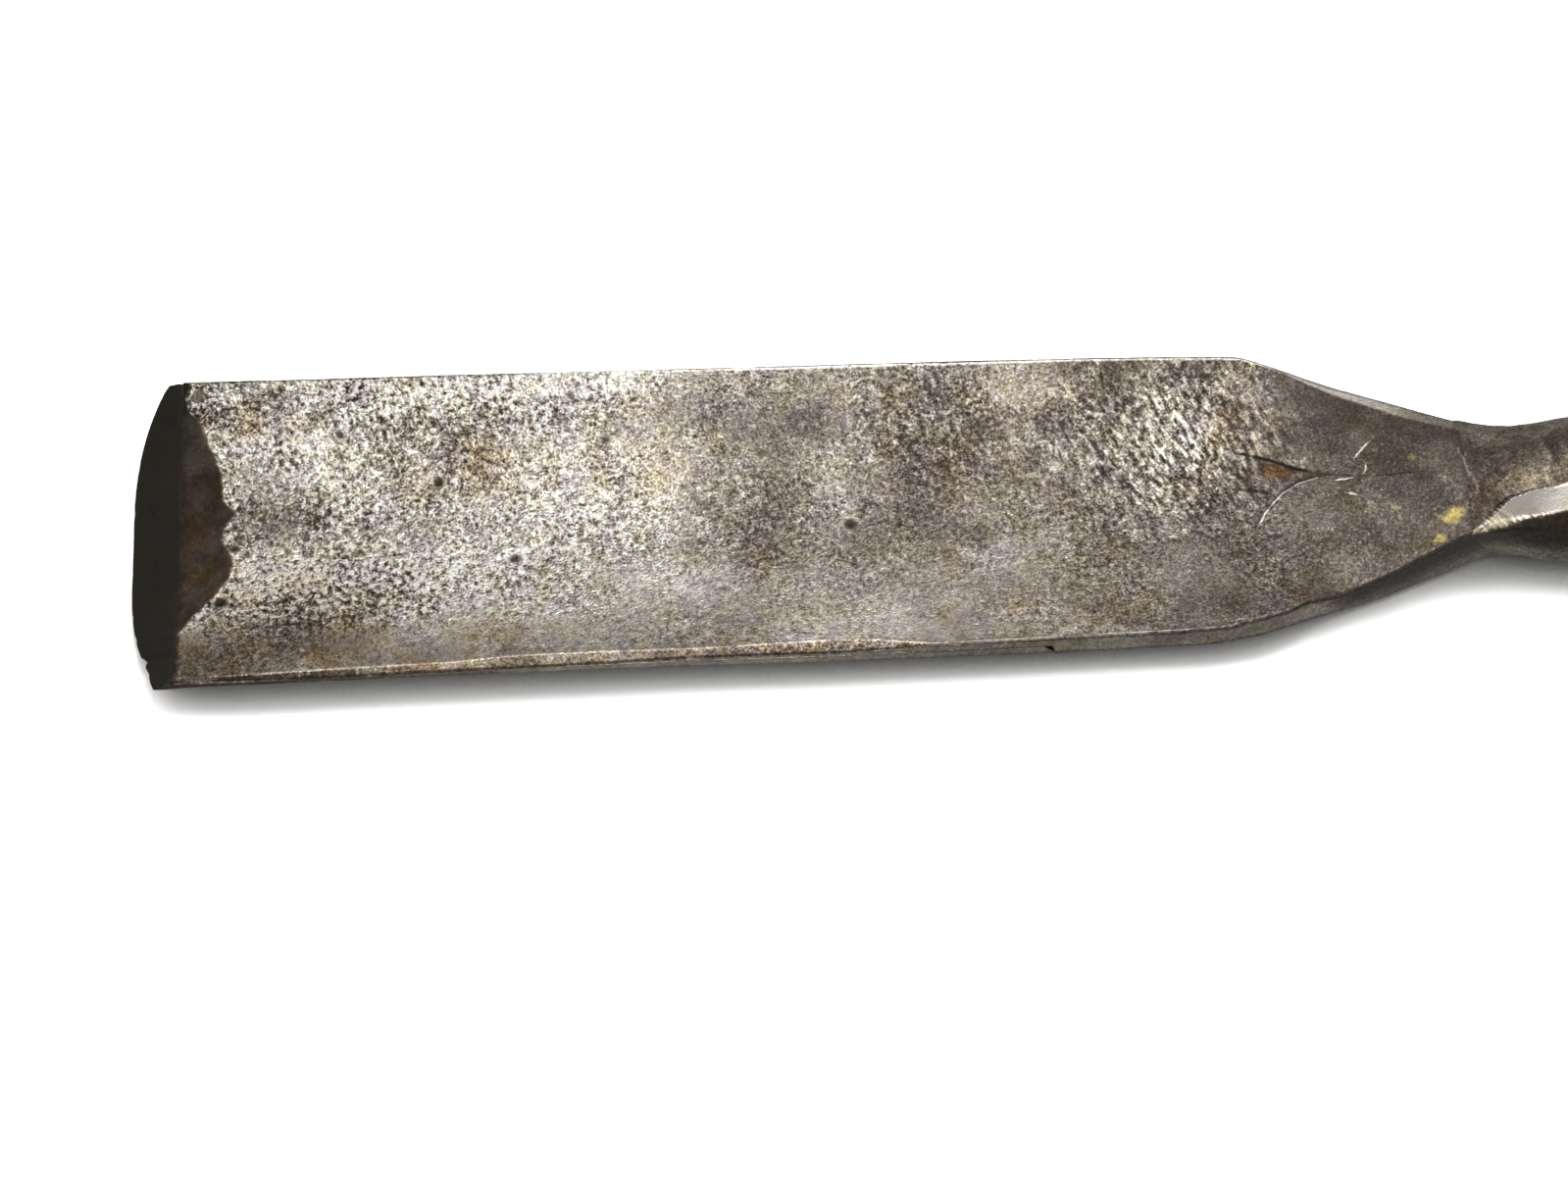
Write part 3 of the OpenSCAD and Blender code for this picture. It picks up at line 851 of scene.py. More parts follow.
def steel_rings():
    """Rings of the unworn steel from the edge to the plate's far end, and how many lie on the bevel."""
    ground = np.linspace(0, 1, EDGE_ROWS)[:, None]
    iron_bevel, behind, straight = iron_stations()
    iron_bevel = iron_bevel[4::4]
    behind = behind[3::4]
    straight = straight[straight[:, 0] <= STEEL_L + TINY]
    straight = np.concatenate([straight[3:-1:4], straight[-1:]])

    def places(v, rise):
        return np.concatenate([
            edge_s(v) + ground * (weld_s(v) - edge_s(v)),
            weld_s(v) + iron_bevel * (bevel_s(v) - weld_s(v)),
            behind_s(v, behind),
            straight + 0 * v]) + 0 * rise

    def lows(v):
        return 0 * places(v, 0)

    def highs(v, rise):
        bevel = bevel_h(v, steel_part(v) * ground)
        laid = bevel_h(v, steel_part(v)) + 0 * iron_bevel
        return np.concatenate([bevel, laid, laid_h(v, behind), plate_end_h(straight, v)]) + 0 * rise

    grid, part = ring_grid(places, lows, highs, STEEL_RING, lambda s: 0.15 * ease((s - 6) / 10))
    return grid, part, len(ground)


# Wear and grain of the steel
STEEL_WAVES = [(0.06, 14, 51), (0.03, 5, 52)]
STEEL_PITS = [(0.10, 3.5, 0.4, 53)]
STEEL_BEVEL_WAVES = [(0.01, 7, 54)]
STEEL_GRAIN = [(0.07, 9, 55), (0.05, 2.5, 56)]
BLACK_GRAIN = [(0.035, 5, 57), (0.03, 1.6, 58)]


def blade_steel_piece(material):
    """Makes the laid steel, with the cutting edge."""
    place, part, bevel_n = steel_rings()
    row = np.arange(len(place))[:, None]
    on_bevel = (part == TOP) & (row < bevel_n)
    welded = (part == TOP) & (row >= bevel_n)
    s, y = place[..., 0] - START_X, place[..., 1]
    v = np.clip(y / (EDGE_W / 2), -1, 1)
    forge = uneven(place, STEEL_WAVES) + pitting(place, STEEL_PITS)
    deep = np.where(on_bevel, uneven(place, STEEL_BEVEL_WAVES), forge * ease((s - edge_s(v) - 0.5) / 5))
    deep = np.where(welded, 0, deep) * np.where(part == WALL, 0.3, 1)
    grid = place - outward(place) * deep[..., None]
    rise = (grid[..., 2] - back_at(s, np.sign(y))) / wall_h(s)
    tone = 0.40 + blotches(place, STEEL_GRAIN) - 0.25 * forge
    tone = np.where((part == WALL) & (y < 0), wall_tone(place, s, y, rise), tone)
    # The ground bevel's near black is partly oiled patina and partly a painted dark reflection
    black = 0.12 + blotches(place, BLACK_GRAIN) + 0.06 * ease(s - weld_s(v) + 1 + 0.5 * lumps(place, 2, 59))
    whetted = (part == FOOT) * ease(1 - (s - 1) / 14)
    marks = {
        "tone": np.clip(np.where(on_bevel, black, tone) + 0.10 * whetted, 0.02, 1),
        "sand": np.where(on_bevel, 0.08, 0.2),
        "rust": np.where(on_bevel, 0.2, np.where(part == WALL, 0.1, 0.4)),
        "lacquer": 0 * s,
        "ground": np.maximum(on_bevel * 1.0, whetted),
    }
    flat, faces = zipped_ends(grid, STEEL_RING[0])
    make_piece("laid_steel", flat, faces, marks, "forging", "blade_steel", material)


# Socket: angles are counted from the top, and grow towards the right rim's side


# Flats that the smith left on the start of the cone, from one corner to the next, in degrees
FLATS = [(-168, -128), (60, 112), (112, 160)]
FLAT_SHARE = 0.4

# A facet cut across the neck's right corner widens onto the cone, with a painted highlight: its two edges as
# (s, angle)
FACET_TOP = [(205.5, 54), (207.5, 50), (209, 44), (212.4, 28), (216, 22), (222, 18), (240.0, 14)]
FACET_FOOT = [(205.5, 55), (209.0, 53), (214.0, 47), (221.0, 40), (240.0, 38)]

# The neck is drawn in on its left behind the weld, and swells again into the cone: (s, out)
LEFT_WAIST = [(206.5, 0.0), (209, -0.4), (212, -0.85), (215, -0.85), (218, -0.5), (221, -0.15), (224, 0.2),
              (230, 0.25), (240, 0.0)]

# Hammer ridges across the top of the neck, painted in light and shade: course, and how much brighter or
# darker
NECK_RIDGE_SHADING = [([(218.2, 4.6), (218.8, 0.6)], 0.16), ([(219.4, 4.4), (219.9, 0.4)], -0.14),
              ([(221.2, 3.8), (221.6, 0.8)], 0.12)]
FACET_EDGE = 0.5
SEAM_ANGLE = 158.0
SEAM_START = 240.0
SEAM_W = 1.1
SEAM_DEEP = 0.45


# Rows of places along the cone, its chamfered lip and the bore, and the places round each row
CONE_ROWS = 190
LIP_ROWS = 3
BORE_ROWS = 50
CONE_N = 300
CONE_ANGLES = (np.arange(CONE_N) + 0.5) * 360 / CONE_N - 180
MOUTH_S = MOUTH_X - START_X
BORE_MOUTH_R = MOUTH_R - MOUTH_WALL

# Angles of the facet and of the drawn-in waist; the flats begin behind the weld and fade out along the cone
FACET_ANGLE = 35
WAIST_ANGLE = -58
FLATS_START = (209, 8)
FLATS_FADE = (226, 42)


def cone_r(s):
    """Radius of the straight cone, which is widest at the mouth."""
    return MOUTH_R - (MOUTH_S - s) * SOCKET_SLOPE


def round_cone(s, r):
    """Places on rings round the tool's axis, at s along the tool."""
    turn = np.radians(CONE_ANGLES)
    return np.stack([START_X + s, -r * np.sin(turn), AXIS_Z + r * np.cos(turn)], axis=-1)


def flatten(radius, start, end, share):
    """Radii of a ring with the stretch between two angles drawn towards a straight line."""
    r0, r1 = np.interp([start, end], CONE_ANGLES, radius, period=360)
    on = np.radians(np.clip(CONE_ANGLES, start, end) - start)
    whole = math.radians(end - start)
    straight = r0 * r1 * math.sin(whole) / (r1 * np.sin(on) + r0 * np.sin(whole - on))
    return np.where((CONE_ANGLES > start) & (CONE_ANGLES < end), mix(radius, straight, share), radius)


def cone_row(t, scarf_s, scarf_r):
    """Ring at a share t of the way from the scarf to the start of the mouth's chamfer."""
    s = scarf_s + t * (MOUTH_S - MOUTH_CHAMFER - scarf_s)
    r = mix(scarf_r, cone_r(np.maximum(s, FLARE_S)), ease((s - scarf_s) / (FLARE_S - scarf_s)))
    r = r + follow(s, LEFT_WAIST) * np.clip(np.cos(np.radians(CONE_ANGLES - WAIST_ANGLE)), 0, 1) ** 2
    at = np.interp(FACET_ANGLE, CONE_ANGLES, s)
    fade = 1 - ease((at - FLATS_FADE[0]) / FLATS_FADE[1])
    begun = ease((at - FLATS_START[0]) / FLATS_START[1])
    for low, high in FLATS:
        r = flatten(r, low, high, FLAT_SHARE * fade * begun)
    return s, flatten(r, follow(at, FACET_TOP), follow(at, FACET_FOOT), 0.9 * fade)


def socket_rows(neck_ring):
    """Rings of the unworn socket, as s and radius: over the cone to the mouth, and down the bore."""
    ring_angle = np.degrees(np.arctan2(-neck_ring[:, 1], neck_ring[:, 2] - AXIS_Z))
    ring_r = np.hypot(neck_ring[:, 1], neck_ring[:, 2] - AXIS_Z)
    scarf_r = np.interp(CONE_ANGLES, ring_angle, ring_r, period=360)
    scarf_s = np.interp(CONE_ANGLES, ring_angle, neck_ring[:, 0] - START_X, period=360)
    cone = [cone_row(t, scarf_s, scarf_r) for t in np.linspace(0, 1, CONE_ROWS)]
    lip = [(MOUTH_S - MOUTH_CHAMFER * (1 - k), MOUTH_R - MOUTH_CHAMFER * k) for k in (0.35, 0.7, 1.0)]
    lip += [(MOUTH_S, BORE_MOUTH_R + 0.3)]
    bore = [(mix(MOUTH_S - 0.3, BORE_S, k), mix(BORE_MOUTH_R, BORE_END_R, k))
            for k in np.linspace(0, 1, BORE_ROWS)]
    rows = cone + [(np.full(CONE_N, s), np.full(CONE_N, r)) for s, r in lip + bore]
    s, r = (np.array(values) for values in zip(*rows))
    return s, r, scarf_s


# Wear and grain of the socket
CONE_WAVES = [(0.09, 12, 61), (0.06, 5, 62)]
CONE_PITS = [(0.16, 4, 0.4, 63), (0.05, 1.6, 0.5, 64)]
CONE_GRAIN = [(0.08, 8, 68), (0.05, 2.5, 69)]


def seam_depth(place, s, r):
    """Depth of the seam that the rolled plate leaves along the underside."""
    wander = SEAM_ANGLE + 2.2 * lumps(place * [1, 0, 0], 14, 65) - 0.03 * (s - SEAM_START)
    off = ((CONE_ANGLES - wander + 180) % 360 - 180) * math.pi / 180 * r
    groove = SEAM_DEEP * np.clip(1 - np.abs(off) / (SEAM_W / 2), 0, 1)
    return groove + 0.3 * ease(1 - off / 9) * (off > 0)


def facet(place, s, r):
    """How far inside the facet's edges each place lies, and how strong the facet's painted highlight is
    there.
    """
    inside = np.minimum(CONE_ANGLES - follow(s, FACET_TOP), follow(s, FACET_FOOT) - CONE_ANGLES)
    bright = (1 - ease((s - 215) / 40)) * np.clip(0.9 + 0.3 * lumps(place, 2.6, 73), 0, 1)
    return inside * math.pi / 180 * r + 0.12 * lumps(place, 1.6, 72), bright


def cone_tone(place, s, forge, on_top):
    """How bright the cone is: painted shade and reflection under the facet, painted highlights by the neck,
    hammer marks.
    """
    tone = 0.35 + blotches(place, CONE_GRAIN) - 0.35 * (forge - 0.15)
    # Under the facet the cone is painted darker as shade, and lighter further down as a painted reflection of
    # the sheet
    under = ease((CONE_ANGLES - follow(s, FACET_FOOT)) / 3) * (1 - ease((s - 225) / 45))
    tone = tone - 0.22 * under * ease((90 - CONE_ANGLES) / 25)
    tone = tone + 0.08 * under * ease((CONE_ANGLES - 80) / 15) * ease((140 - CONE_ANGLES) / 30)
    # Painted highlights on the left side and over the top, near the neck
    left_light = ease((-CONE_ANGLES - 22) / 22) * ease((115 + CONE_ANGLES) / 20)
    top_light = ease((50 - np.abs(CONE_ANGLES)) / 20)
    tone = tone + (1 - ease((s - 222) / 50)) * (0.20 * left_light + 0.05 * top_light)
    tone = tone + 0.25 * stroke(s, place[..., 1], SCARF_LINE, 0.8) * on_top
    # The hammer ridges are painted as lighter and darker lines, their light and shade
    for line, power in NECK_RIDGE_SHADING:
        tone = tone + power * stroke(s, place[..., 1], line, 1.1) * on_top
    return tone


def socket_piece(material, neck_ring):
    """Makes the rolled socket, from the neck's scarf to its mouth and down its bore."""
    s, r, scarf_s = socket_rows(neck_ring)
    row = np.arange(len(s))[:, None]
    in_bore = row > CONE_ROWS + LIP_ROWS
    on_top = np.abs(CONE_ANGLES) < 60
    place = round_cone(s, r)
    forge = uneven(place, CONE_WAVES) + pitting(place, CONE_PITS)
    seam = seam_depth(place, s, r)
    opened = ease((s - SEAM_START) / 12)
    deep = (forge * ease((s - scarf_s) / 3) + seam * opened) * (row < CONE_ROWS)
    at_mouth = ease((s - MOUTH_S + 3) / 3) * (row >= CONE_ROWS - 8)
    dents = 0.25 * pits(place * [0.4, 1, 1], 7, 0.5, 66) * at_mouth
    r = r - (deep + dents) * (row < CONE_ROWS + LIP_ROWS)
    r = r - in_bore * (row < len(s) - 1) * 0.02 * (1 + lumps(place, 3, 67))
    place = round_cone(s, r)
    tone = cone_tone(place, s, forge, on_top) - 0.25 * (seam > 0.25) * opened
    tone = tone + 0.22 * swell(s, MOUTH_S - 4, MOUTH_S + 2.5) * (row < CONE_ROWS + LIP_ROWS + 2)
    in_facet, bright = facet(place, s, r)
    # The facet's painted highlight goes into the line marks, and the facet has less rust
    lit = ease(in_facet / FACET_EDGE + 0.5) * bright
    marks = {
        "tone": np.clip(np.where(in_bore, 0.2, tone), 0.02, 1),
        "sand": np.where(in_bore, 0.1, 0.3) + 0 * s,
        "rust": mix(0.3 + 0.3 * lumps(place, 6, 70), 0.25, lit),
        "line_side": np.clip(0.75 - in_facet / mix(FACET_EDGE, 6 * FACET_EDGE, (s - 222) / 20), 0, 9),
        "line": 0.90 * bright,
        "lacquer": lacquer_on(place, s, place[..., 1]) * on_top,
        "ground": 0 * s,
    }
    flat, faces = fan_ends(place)
    marks = {name: np.append(np.ravel(values), [0.2, 0.2]) for name, values in marks.items()}
    make_piece("rolled_socket", flat, faces, marks, "forging", "socket", material)


# Handle and leather


# Where the grip and the straight barrel begin; two turned beads stand at the barrel
COLLAR_X = MOUTH_X + MOUTH_GAP
BARREL_X = LEATHER_X - GRIP_CHAMFER - BARREL_L
BEADS = (BARREL_X, BARREL_X - 3)

# Rows of places along the grip, and the places round each row of the wood and the leather
GRIP_ROWS = 96
TURNED_N = 144


def round_axis(x, r):
    """Places on rings round the tool's axis."""
    angle = np.arange(TURNED_N) * 2 * math.pi / TURNED_N
    return np.stack([x, r * np.cos(angle), AXIS_Z + r * np.sin(angle)], axis=-1)


def turned(profile):
    """Rings of a turned piece, from its outline as (x, radius)."""
    x, r = (np.repeat(np.array(values)[:, None], TURNED_N, axis=1) for values in zip(*profile))
    return x, r, round_axis(x, r)


def close_points(start, end, gap):
    """Places between two ends, no more than a gap apart."""
    (x0, r0), (x1, r1) = start, end
    count = max(2, int(math.ceil(math.hypot(x1 - x0, r1 - r0) / gap)) + 1)
    return [(mix(x0, x1, t), mix(r0, r1, t)) for t in np.linspace(0, 1, count)][:-1]


def bore_r(x):
    """Radius of the socket's bore, along the tool."""
    bottom_x = START_X + BORE_S
    return mix(BORE_END_R, BORE_MOUTH_R, (x - bottom_x) / (MOUTH_X - bottom_x))


def handle_profile():
    """Outline of the wood as (x, radius): tenon, grip, barrel and spigot."""
    tenon_r = bore_r(MOUTH_X) - TAPER_PLAY
    tenon_end_r = bore_r(TENON_X) - TAPER_PLAY
    grip = [(mix(COLLAR_X + GRIP_CHAMFER, BARREL_X, t), mix(COLLAR_R, BARREL_R, ease(t)))
            for t in np.linspace(0, 1, GRIP_ROWS)]
    chamfer = [(COLLAR_X + GRIP_CHAMFER * (1 - math.cos(a)), COLLAR_R - GRIP_CHAMFER * (1 - math.sin(a)))
               for a in np.linspace(0.05, math.pi / 2, 7)[:-1]]
    far_chamfer = [(LEATHER_X - GRIP_CHAMFER * (1 - math.sin(a)), BARREL_R - GRIP_CHAMFER * (1 - math.cos(a)))
                   for a in np.linspace(0, math.pi / 2, 7)]
    profile = [(TENON_X, tenon_end_r - 0.8)]
    profile += close_points((TENON_X + 0.8, tenon_end_r), (MOUTH_X, tenon_r), 1.6)
    profile += close_points((MOUTH_X, tenon_r), (COLLAR_X, tenon_r), 0.5)
    profile += close_points((COLLAR_X, tenon_r), (COLLAR_X, chamfer[0][1]), 0.3)
    profile += chamfer + grip
    profile += close_points((BARREL_X + 0.4, BARREL_R), (LEATHER_X - GRIP_CHAMFER, BARREL_R), 0.8)
    profile += far_chamfer
    profile += close_points((LEATHER_X, BARREL_R - GRIP_CHAMFER - 0.4), (LEATHER_X, SPIGOT_R), 1.0)
    profile += close_points((LEATHER_X, SPIGOT_R), (SPIGOT_X - 0.5, SPIGOT_R), 1.2)
    profile += [(SPIGOT_X - 0.5, SPIGOT_R), (SPIGOT_X, SPIGOT_R - 0.5)]
    return profile + close_points((SPIGOT_X, SPIGOT_R - 0.9), (SPIGOT_X, 1.0), 0.7)


def bruises(place):
    """Large dents in the wood, from 0 to 1."""
    return pits(place * [0.7, 1, 1], 11, 0.45, 83)


def wood_wear(place, x, r):
    """Depth of the turning marks, the beads, the dents and the open pores where the wood shows."""
    shown = (x > COLLAR_X + 0.3) & (x < LEATHER_X - 0.2) & (r > SPIGOT_R + 1)
    turning = 0.012 * (1 + np.sin(x * 2 * math.pi / 1.4))
    worn = 0.05 * (1 + lumps(place, 22, 81)) + 0.02 * (1 + lumps(place * [0.25, 1, 1], 2.2, 82))
    pores = 0.03 * pits(place * [0.12, 1, 1], 1.1, 0.5, 85)
    dents = 0.35 * bruises(place) ** 2 + 0.12 * pits(place, 4, 0.25, 84)
    beads = sum(np.clip(1 - np.abs(x - bead_x) / 0.7, 0, 1) for bead_x in BEADS)
    along_barrel = (x - BARREL_X) / 4
    worn = (turning + worn + pores) * mix(1, 0.35, along_barrel)
    return shown * (worn + dents * mix(1, 0.6, along_barrel) + 0.35 * beads) * 0.9


def handle_piece(material):
    """Makes the turned handle."""
    x, r, place = turned(handle_profile())
    flat, faces = fan_ends(round_axis(x, np.maximum(r - wood_wear(place, x, r), 0.2)))
    x, y, z = flat.T
    radius = np.hypot(y, z - AXIS_Z)
    grime = np.maximum(ease(1 - (x - COLLAR_X) / 9), ease((x - LEATHER_X + 7) / 7)) * (x > MOUTH_X)
    grime = np.maximum(grime, 0.7 * bruises(flat)) + 0.3 * lumps(flat, 17, 86)
    grime = grime + sum(0.9 * (np.abs(x - bead_x) < 0.8) for bead_x in BEADS)
    ends = (x > SPIGOT_X - 0.2) | (np.abs(x - COLLAR_X) < 0.2) | (np.abs(x - LEATHER_X) < 0.1)
    marks = {
        "grime": np.clip(grime, 0, 1),
        "end_grain": ends * 1.0,
        "held": swell(x, COLLAR_X + 6, BARREL_X + 16) * (radius > SPIGOT_R + 1),
    }
    make_piece("ash_handle", flat, faces, marks, "handle", "handle", material)


# Each washer's rim bulges: how far it falls off towards its faces, and how much less it does on each washer,
# from the wood outwards; then the radius of its corners, and of the corner that the mallet has rounded
RIM_FALL = 0.45
FALLS_LESS = (0.0, 0.12, 0.22, 0.0)
WASHER_EDGE = 0.5
STRUCK_EDGE = 0.9


def washer_profile(low_x, high_x, hole, edge):
    """Outline of a washer's section as (x, radius), with its two rounded corners."""
    turns = np.linspace(0, math.pi / 2, 6)
    first = [(low_x + WASHER_EDGE * (1 - math.sin(a)), WASHER_R - WASHER_EDGE * (1 - math.cos(a)))
             for a in turns[::-1]]
    last = [(high_x - edge * (1 - math.sin(a)), WASHER_R - edge * (1 - math.cos(a))) for a in turns]
    profile = close_points((low_x, hole), (low_x, WASHER_R - WASHER_EDGE), 0.8) + first
    profile += close_points((low_x + 0.7, WASHER_R), (high_x - edge - 0.2, WASHER_R), 0.35)
    profile += last + close_points((high_x, WASHER_R - edge - 0.2), (high_x, hole + 0.1), 0.6)
    return profile + [(high_x, hole)]


def washer_piece(number, material):
    """Makes one leather washer; the last one takes the mallet."""
    low_x, high_x = LEATHER_X + (number - 1) * WASHER_T, LEATHER_X + number * WASHER_T
    struck = number == len(FALLS_LESS)
    hole = SPIGOT_R + SPIGOT_PLAY
    x, r, place = turned(washer_profile(low_x, high_x, hole, STRUCK_EDGE if struck else WASHER_EDGE))
    off_middle = (x - (low_x + high_x) / 2) / (WASHER_T / 2)
    fall = (RIM_FALL - FALLS_LESS[number - 1]) * off_middle ** 2
    rim = r > WASHER_R - 1.2
    layers = 0.05 * (1 + np.sin((x - low_x) * 2 * math.pi / 1.25 + 1.5 * lumps(place, 7, 90 + number)))
    r = r - rim * (fall + layers + uneven(place, [(0.16, 9, 91 + number), (0.05, 1.6, 95 + number)]))
    face = (x > high_x - 0.01) & (r > hole + 0.5) & struck
    bruise = uneven(place, [(0.22, 6, 99), (0.05, 1.2, 101)]) + 0.35 * pits(place, 7, 0.5, 100)
    grid = round_axis(x - face * np.clip(bruise, 0, 0.9) * ease((r - hole) / 2), r)
    rings, count = grid.shape[:2]
    base = (rings - 1) * count
    faces = ring_faces(rings, count)
    faces += [(base + j, j, (j + 1) % count, base + (j + 1) % count) for j in range(count)]
    marks = {
        "burnish": rim * 1.0,
        "struck": face * 1.0,
        "dirt": np.clip(0.4 + 0.5 * lumps(grid, 6, 103 + number), 0, 1),
    }
    make_piece(f"leather_disc_{number}", grid.reshape(-1, 3), faces, marks, "handle",
               f"leather_washer_{number}", material)


# Materials


def linear(hex_colour):
    """An sRGB hex colour as the linear values that a shader takes."""
    parts = [int(hex_colour[i:i + 2], 16) / 255 for i in (1, 3, 5)]
    return [c / 12.92 if c <= 0.04045 else ((c + 0.055) / 1.055) ** 2.4 for c in parts] + [1.0]


def add(tree, kind, inputs=None, stops=None, **settings):
    """Adds a node with its settings, its inputs' values or links, and the stops of its colour ramp."""
    made = tree.nodes.new(kind)
    for name, value in settings.items():
        setattr(made, name, value)
    if stops:
        ramp = made.color_ramp.elements
        for at, _ in stops[1:-1]:
            ramp.new(at)
        for element, (at, colour) in zip(ramp, stops):
            element.position = at
            element.color = linear(colour)
    for name, value in (inputs or {}).items():
        if isinstance(value, bpy.types.NodeSocket):
            tree.links.new(value, made.inputs[name])
        else:
            made.inputs[name].default_value = value
    return made


def start_material(name):
    """An empty node material with its shader and output."""
    material = bpy.data.materials.new(name)
    material.use_nodes = True
    tree = material.node_tree
    tree.nodes.clear()
    shader = add(tree, "ShaderNodeBsdfPrincipled")
    add(tree, "ShaderNodeOutputMaterial", {"Surface": shader.outputs[0]})
    return material, tree, shader


def finish(tree, shader, inputs):
    """Links a material's results to its shader."""
    for name, value in inputs.items():
        tree.links.new(value, shader.inputs[name])


def every(size_mm):
    """Scale of a pattern that repeats at this size; textures are laid out in metres."""
    return 1 / (size_mm * MM)


# Tones of forged iron, from black scale in the pits to bare metal on the high places
IRON_TONES = [(0.0, "#15120e"), (0.14, "#2b271e"), (0.24, "#403930"), (0.34, "#59514a"), (0.44, "#766e65"),
              (0.55, "#958e84"), (0.66, "#b3ada3"), (0.8, "#d7d3ca"), (1.0, "#fdfbf6")]

# Tints over the iron: from cool to warm, from clean to rusty, and the old lacquer
TINTS = [(0.34, "#e6e2ec"), (0.46, "#fbfafc"), (0.56, "#fcfbf6"), (0.68, "#f2f2e0")]
RUST_TONES = [(0.0, "#ffffff"), (0.66, "#e0cab2"), (1.0, "#cba883")]
OLD_LACQUER = "#b4a363"


# Marks that the iron and the steel carry on their surface
IRON_MARKS = ("tone", "sand", "rust", "lacquer", "ground", "hammer", "line_side", "line")
GRAIN_SPAN = (0.3, 0.7)
PIT_MM = 1.5
SPECK_MM = 0.7
CLUSTER_MM = 4.0
TINT_MM = 4.5


def iron_grains(tree, place, mark, plain, coarse, fine_mm, gains):
    """Bright grains and dark hollows: the coarse ones where the iron is sandy, the fine ones everywhere."""
    fine = add(tree, "ShaderNodeTexNoise", {"Vector": place, "Scale": every(fine_mm), "Detail": 1.0,
                                            "Roughness": 0.5}).outputs["Fac"]
    coarse_up, fine_up = [
        add(tree, "ShaderNodeMapRange", {"Value": noise, "From Min": GRAIN_SPAN[0], "From Max": GRAIN_SPAN[1],
                                         "To Min": -gain, "To Max": gain}, clamp=False).outputs[0]
        for noise, gain in zip((coarse, fine), gains)]
    smoother = add(tree, "ShaderNodeMapRange", {"Value": mark["sand"], "From Min": 0.0, "From Max": 0.6,
                                                "To Min": 0.35, "To Max": 1.0}).outputs[0]
    fine_share = add(tree, "ShaderNodeMath", {0: smoother, 1: plain}, operation="MULTIPLY").outputs[0]
    fine_kept = add(tree, "ShaderNodeMath", {0: fine_up, 1: fine_share}, operation="MULTIPLY").outputs[0]
    return add(tree, "ShaderNodeMath", {0: coarse_up, 1: mark["sand"], 2: fine_kept},
               operation="MULTIPLY_ADD").outputs[0]


def iron_flecks(tree, place, mark, plain, cluster):
    """The mark's tone with bright specks in clusters, and the slanting strokes of the hammer."""
    speck = add(tree, "ShaderNodeTexNoise", {"Vector": place, "Scale": every(SPECK_MM), "Detail": 2.0,
                                             "Roughness": 0.65}).outputs["Fac"]
    speck_up = add(tree, "ShaderNodeMapRange", {"Value": speck, "From Min": 0.54, "From Max": 0.68,
                                                "To Min": 0.0, "To Max": 0.17}).outputs[0]
    clustered = add(tree, "ShaderNodeMath", {0: cluster, 1: plain}, operation="MULTIPLY").outputs[0]
    flecked = add(tree, "ShaderNodeMath", {0: speck_up, 1: clustered, 2: mark["tone"]},
                  operation="MULTIPLY_ADD").outputs[0]
    struck_way = add(tree, "ShaderNodeMapping", {"Vector": place, "Rotation": (0.0, 0.0, HAMMER_TURN),
                                                 "Scale": (2.3, 0.8, 1.0)}, vector_type="TEXTURE").outputs[0]
    strokes = add(tree, "ShaderNodeTexNoise", {"Vector": struck_way, "Scale": every(1.0), "Detail": 1.5,
                                               "Roughness": 0.6}).outputs["Fac"]
    strokes_up = add(tree, "ShaderNodeMapRange", {"Value": strokes, "From Min": GRAIN_SPAN[0], "From Max":
                                                  GRAIN_SPAN[1], "To Min": -0.3, "To Max": 0.3},
                     clamp=False).outputs[0]
    return add(tree, "ShaderNodeMath", {0: strokes_up, 1: mark["hammer"], 2: flecked},
               operation="MULTIPLY_ADD").outputs[0]


def iron_pits(tree, place, mark, cluster):
    """Small round pits, in clusters and where the iron is sandy."""
    cells = add(tree, "ShaderNodeTexVoronoi", {"Vector": place, "Scale": every(PIT_MM)}).outputs["Distance"]
    pit = add(tree, "ShaderNodeMapRange", {"Value": cells, "From Min": 0.14, "From Max": 0.34,
                                           "To Min": 1.0, "To Max": 0.0}).outputs[0]
    pitted = add(tree, "ShaderNodeMath", {0: pit, 1: cluster}, operation="MULTIPLY").outputs[0]
    return add(tree, "ShaderNodeMath", {0: pitted, 1: mark["sand"]}, operation="MULTIPLY").outputs[0]


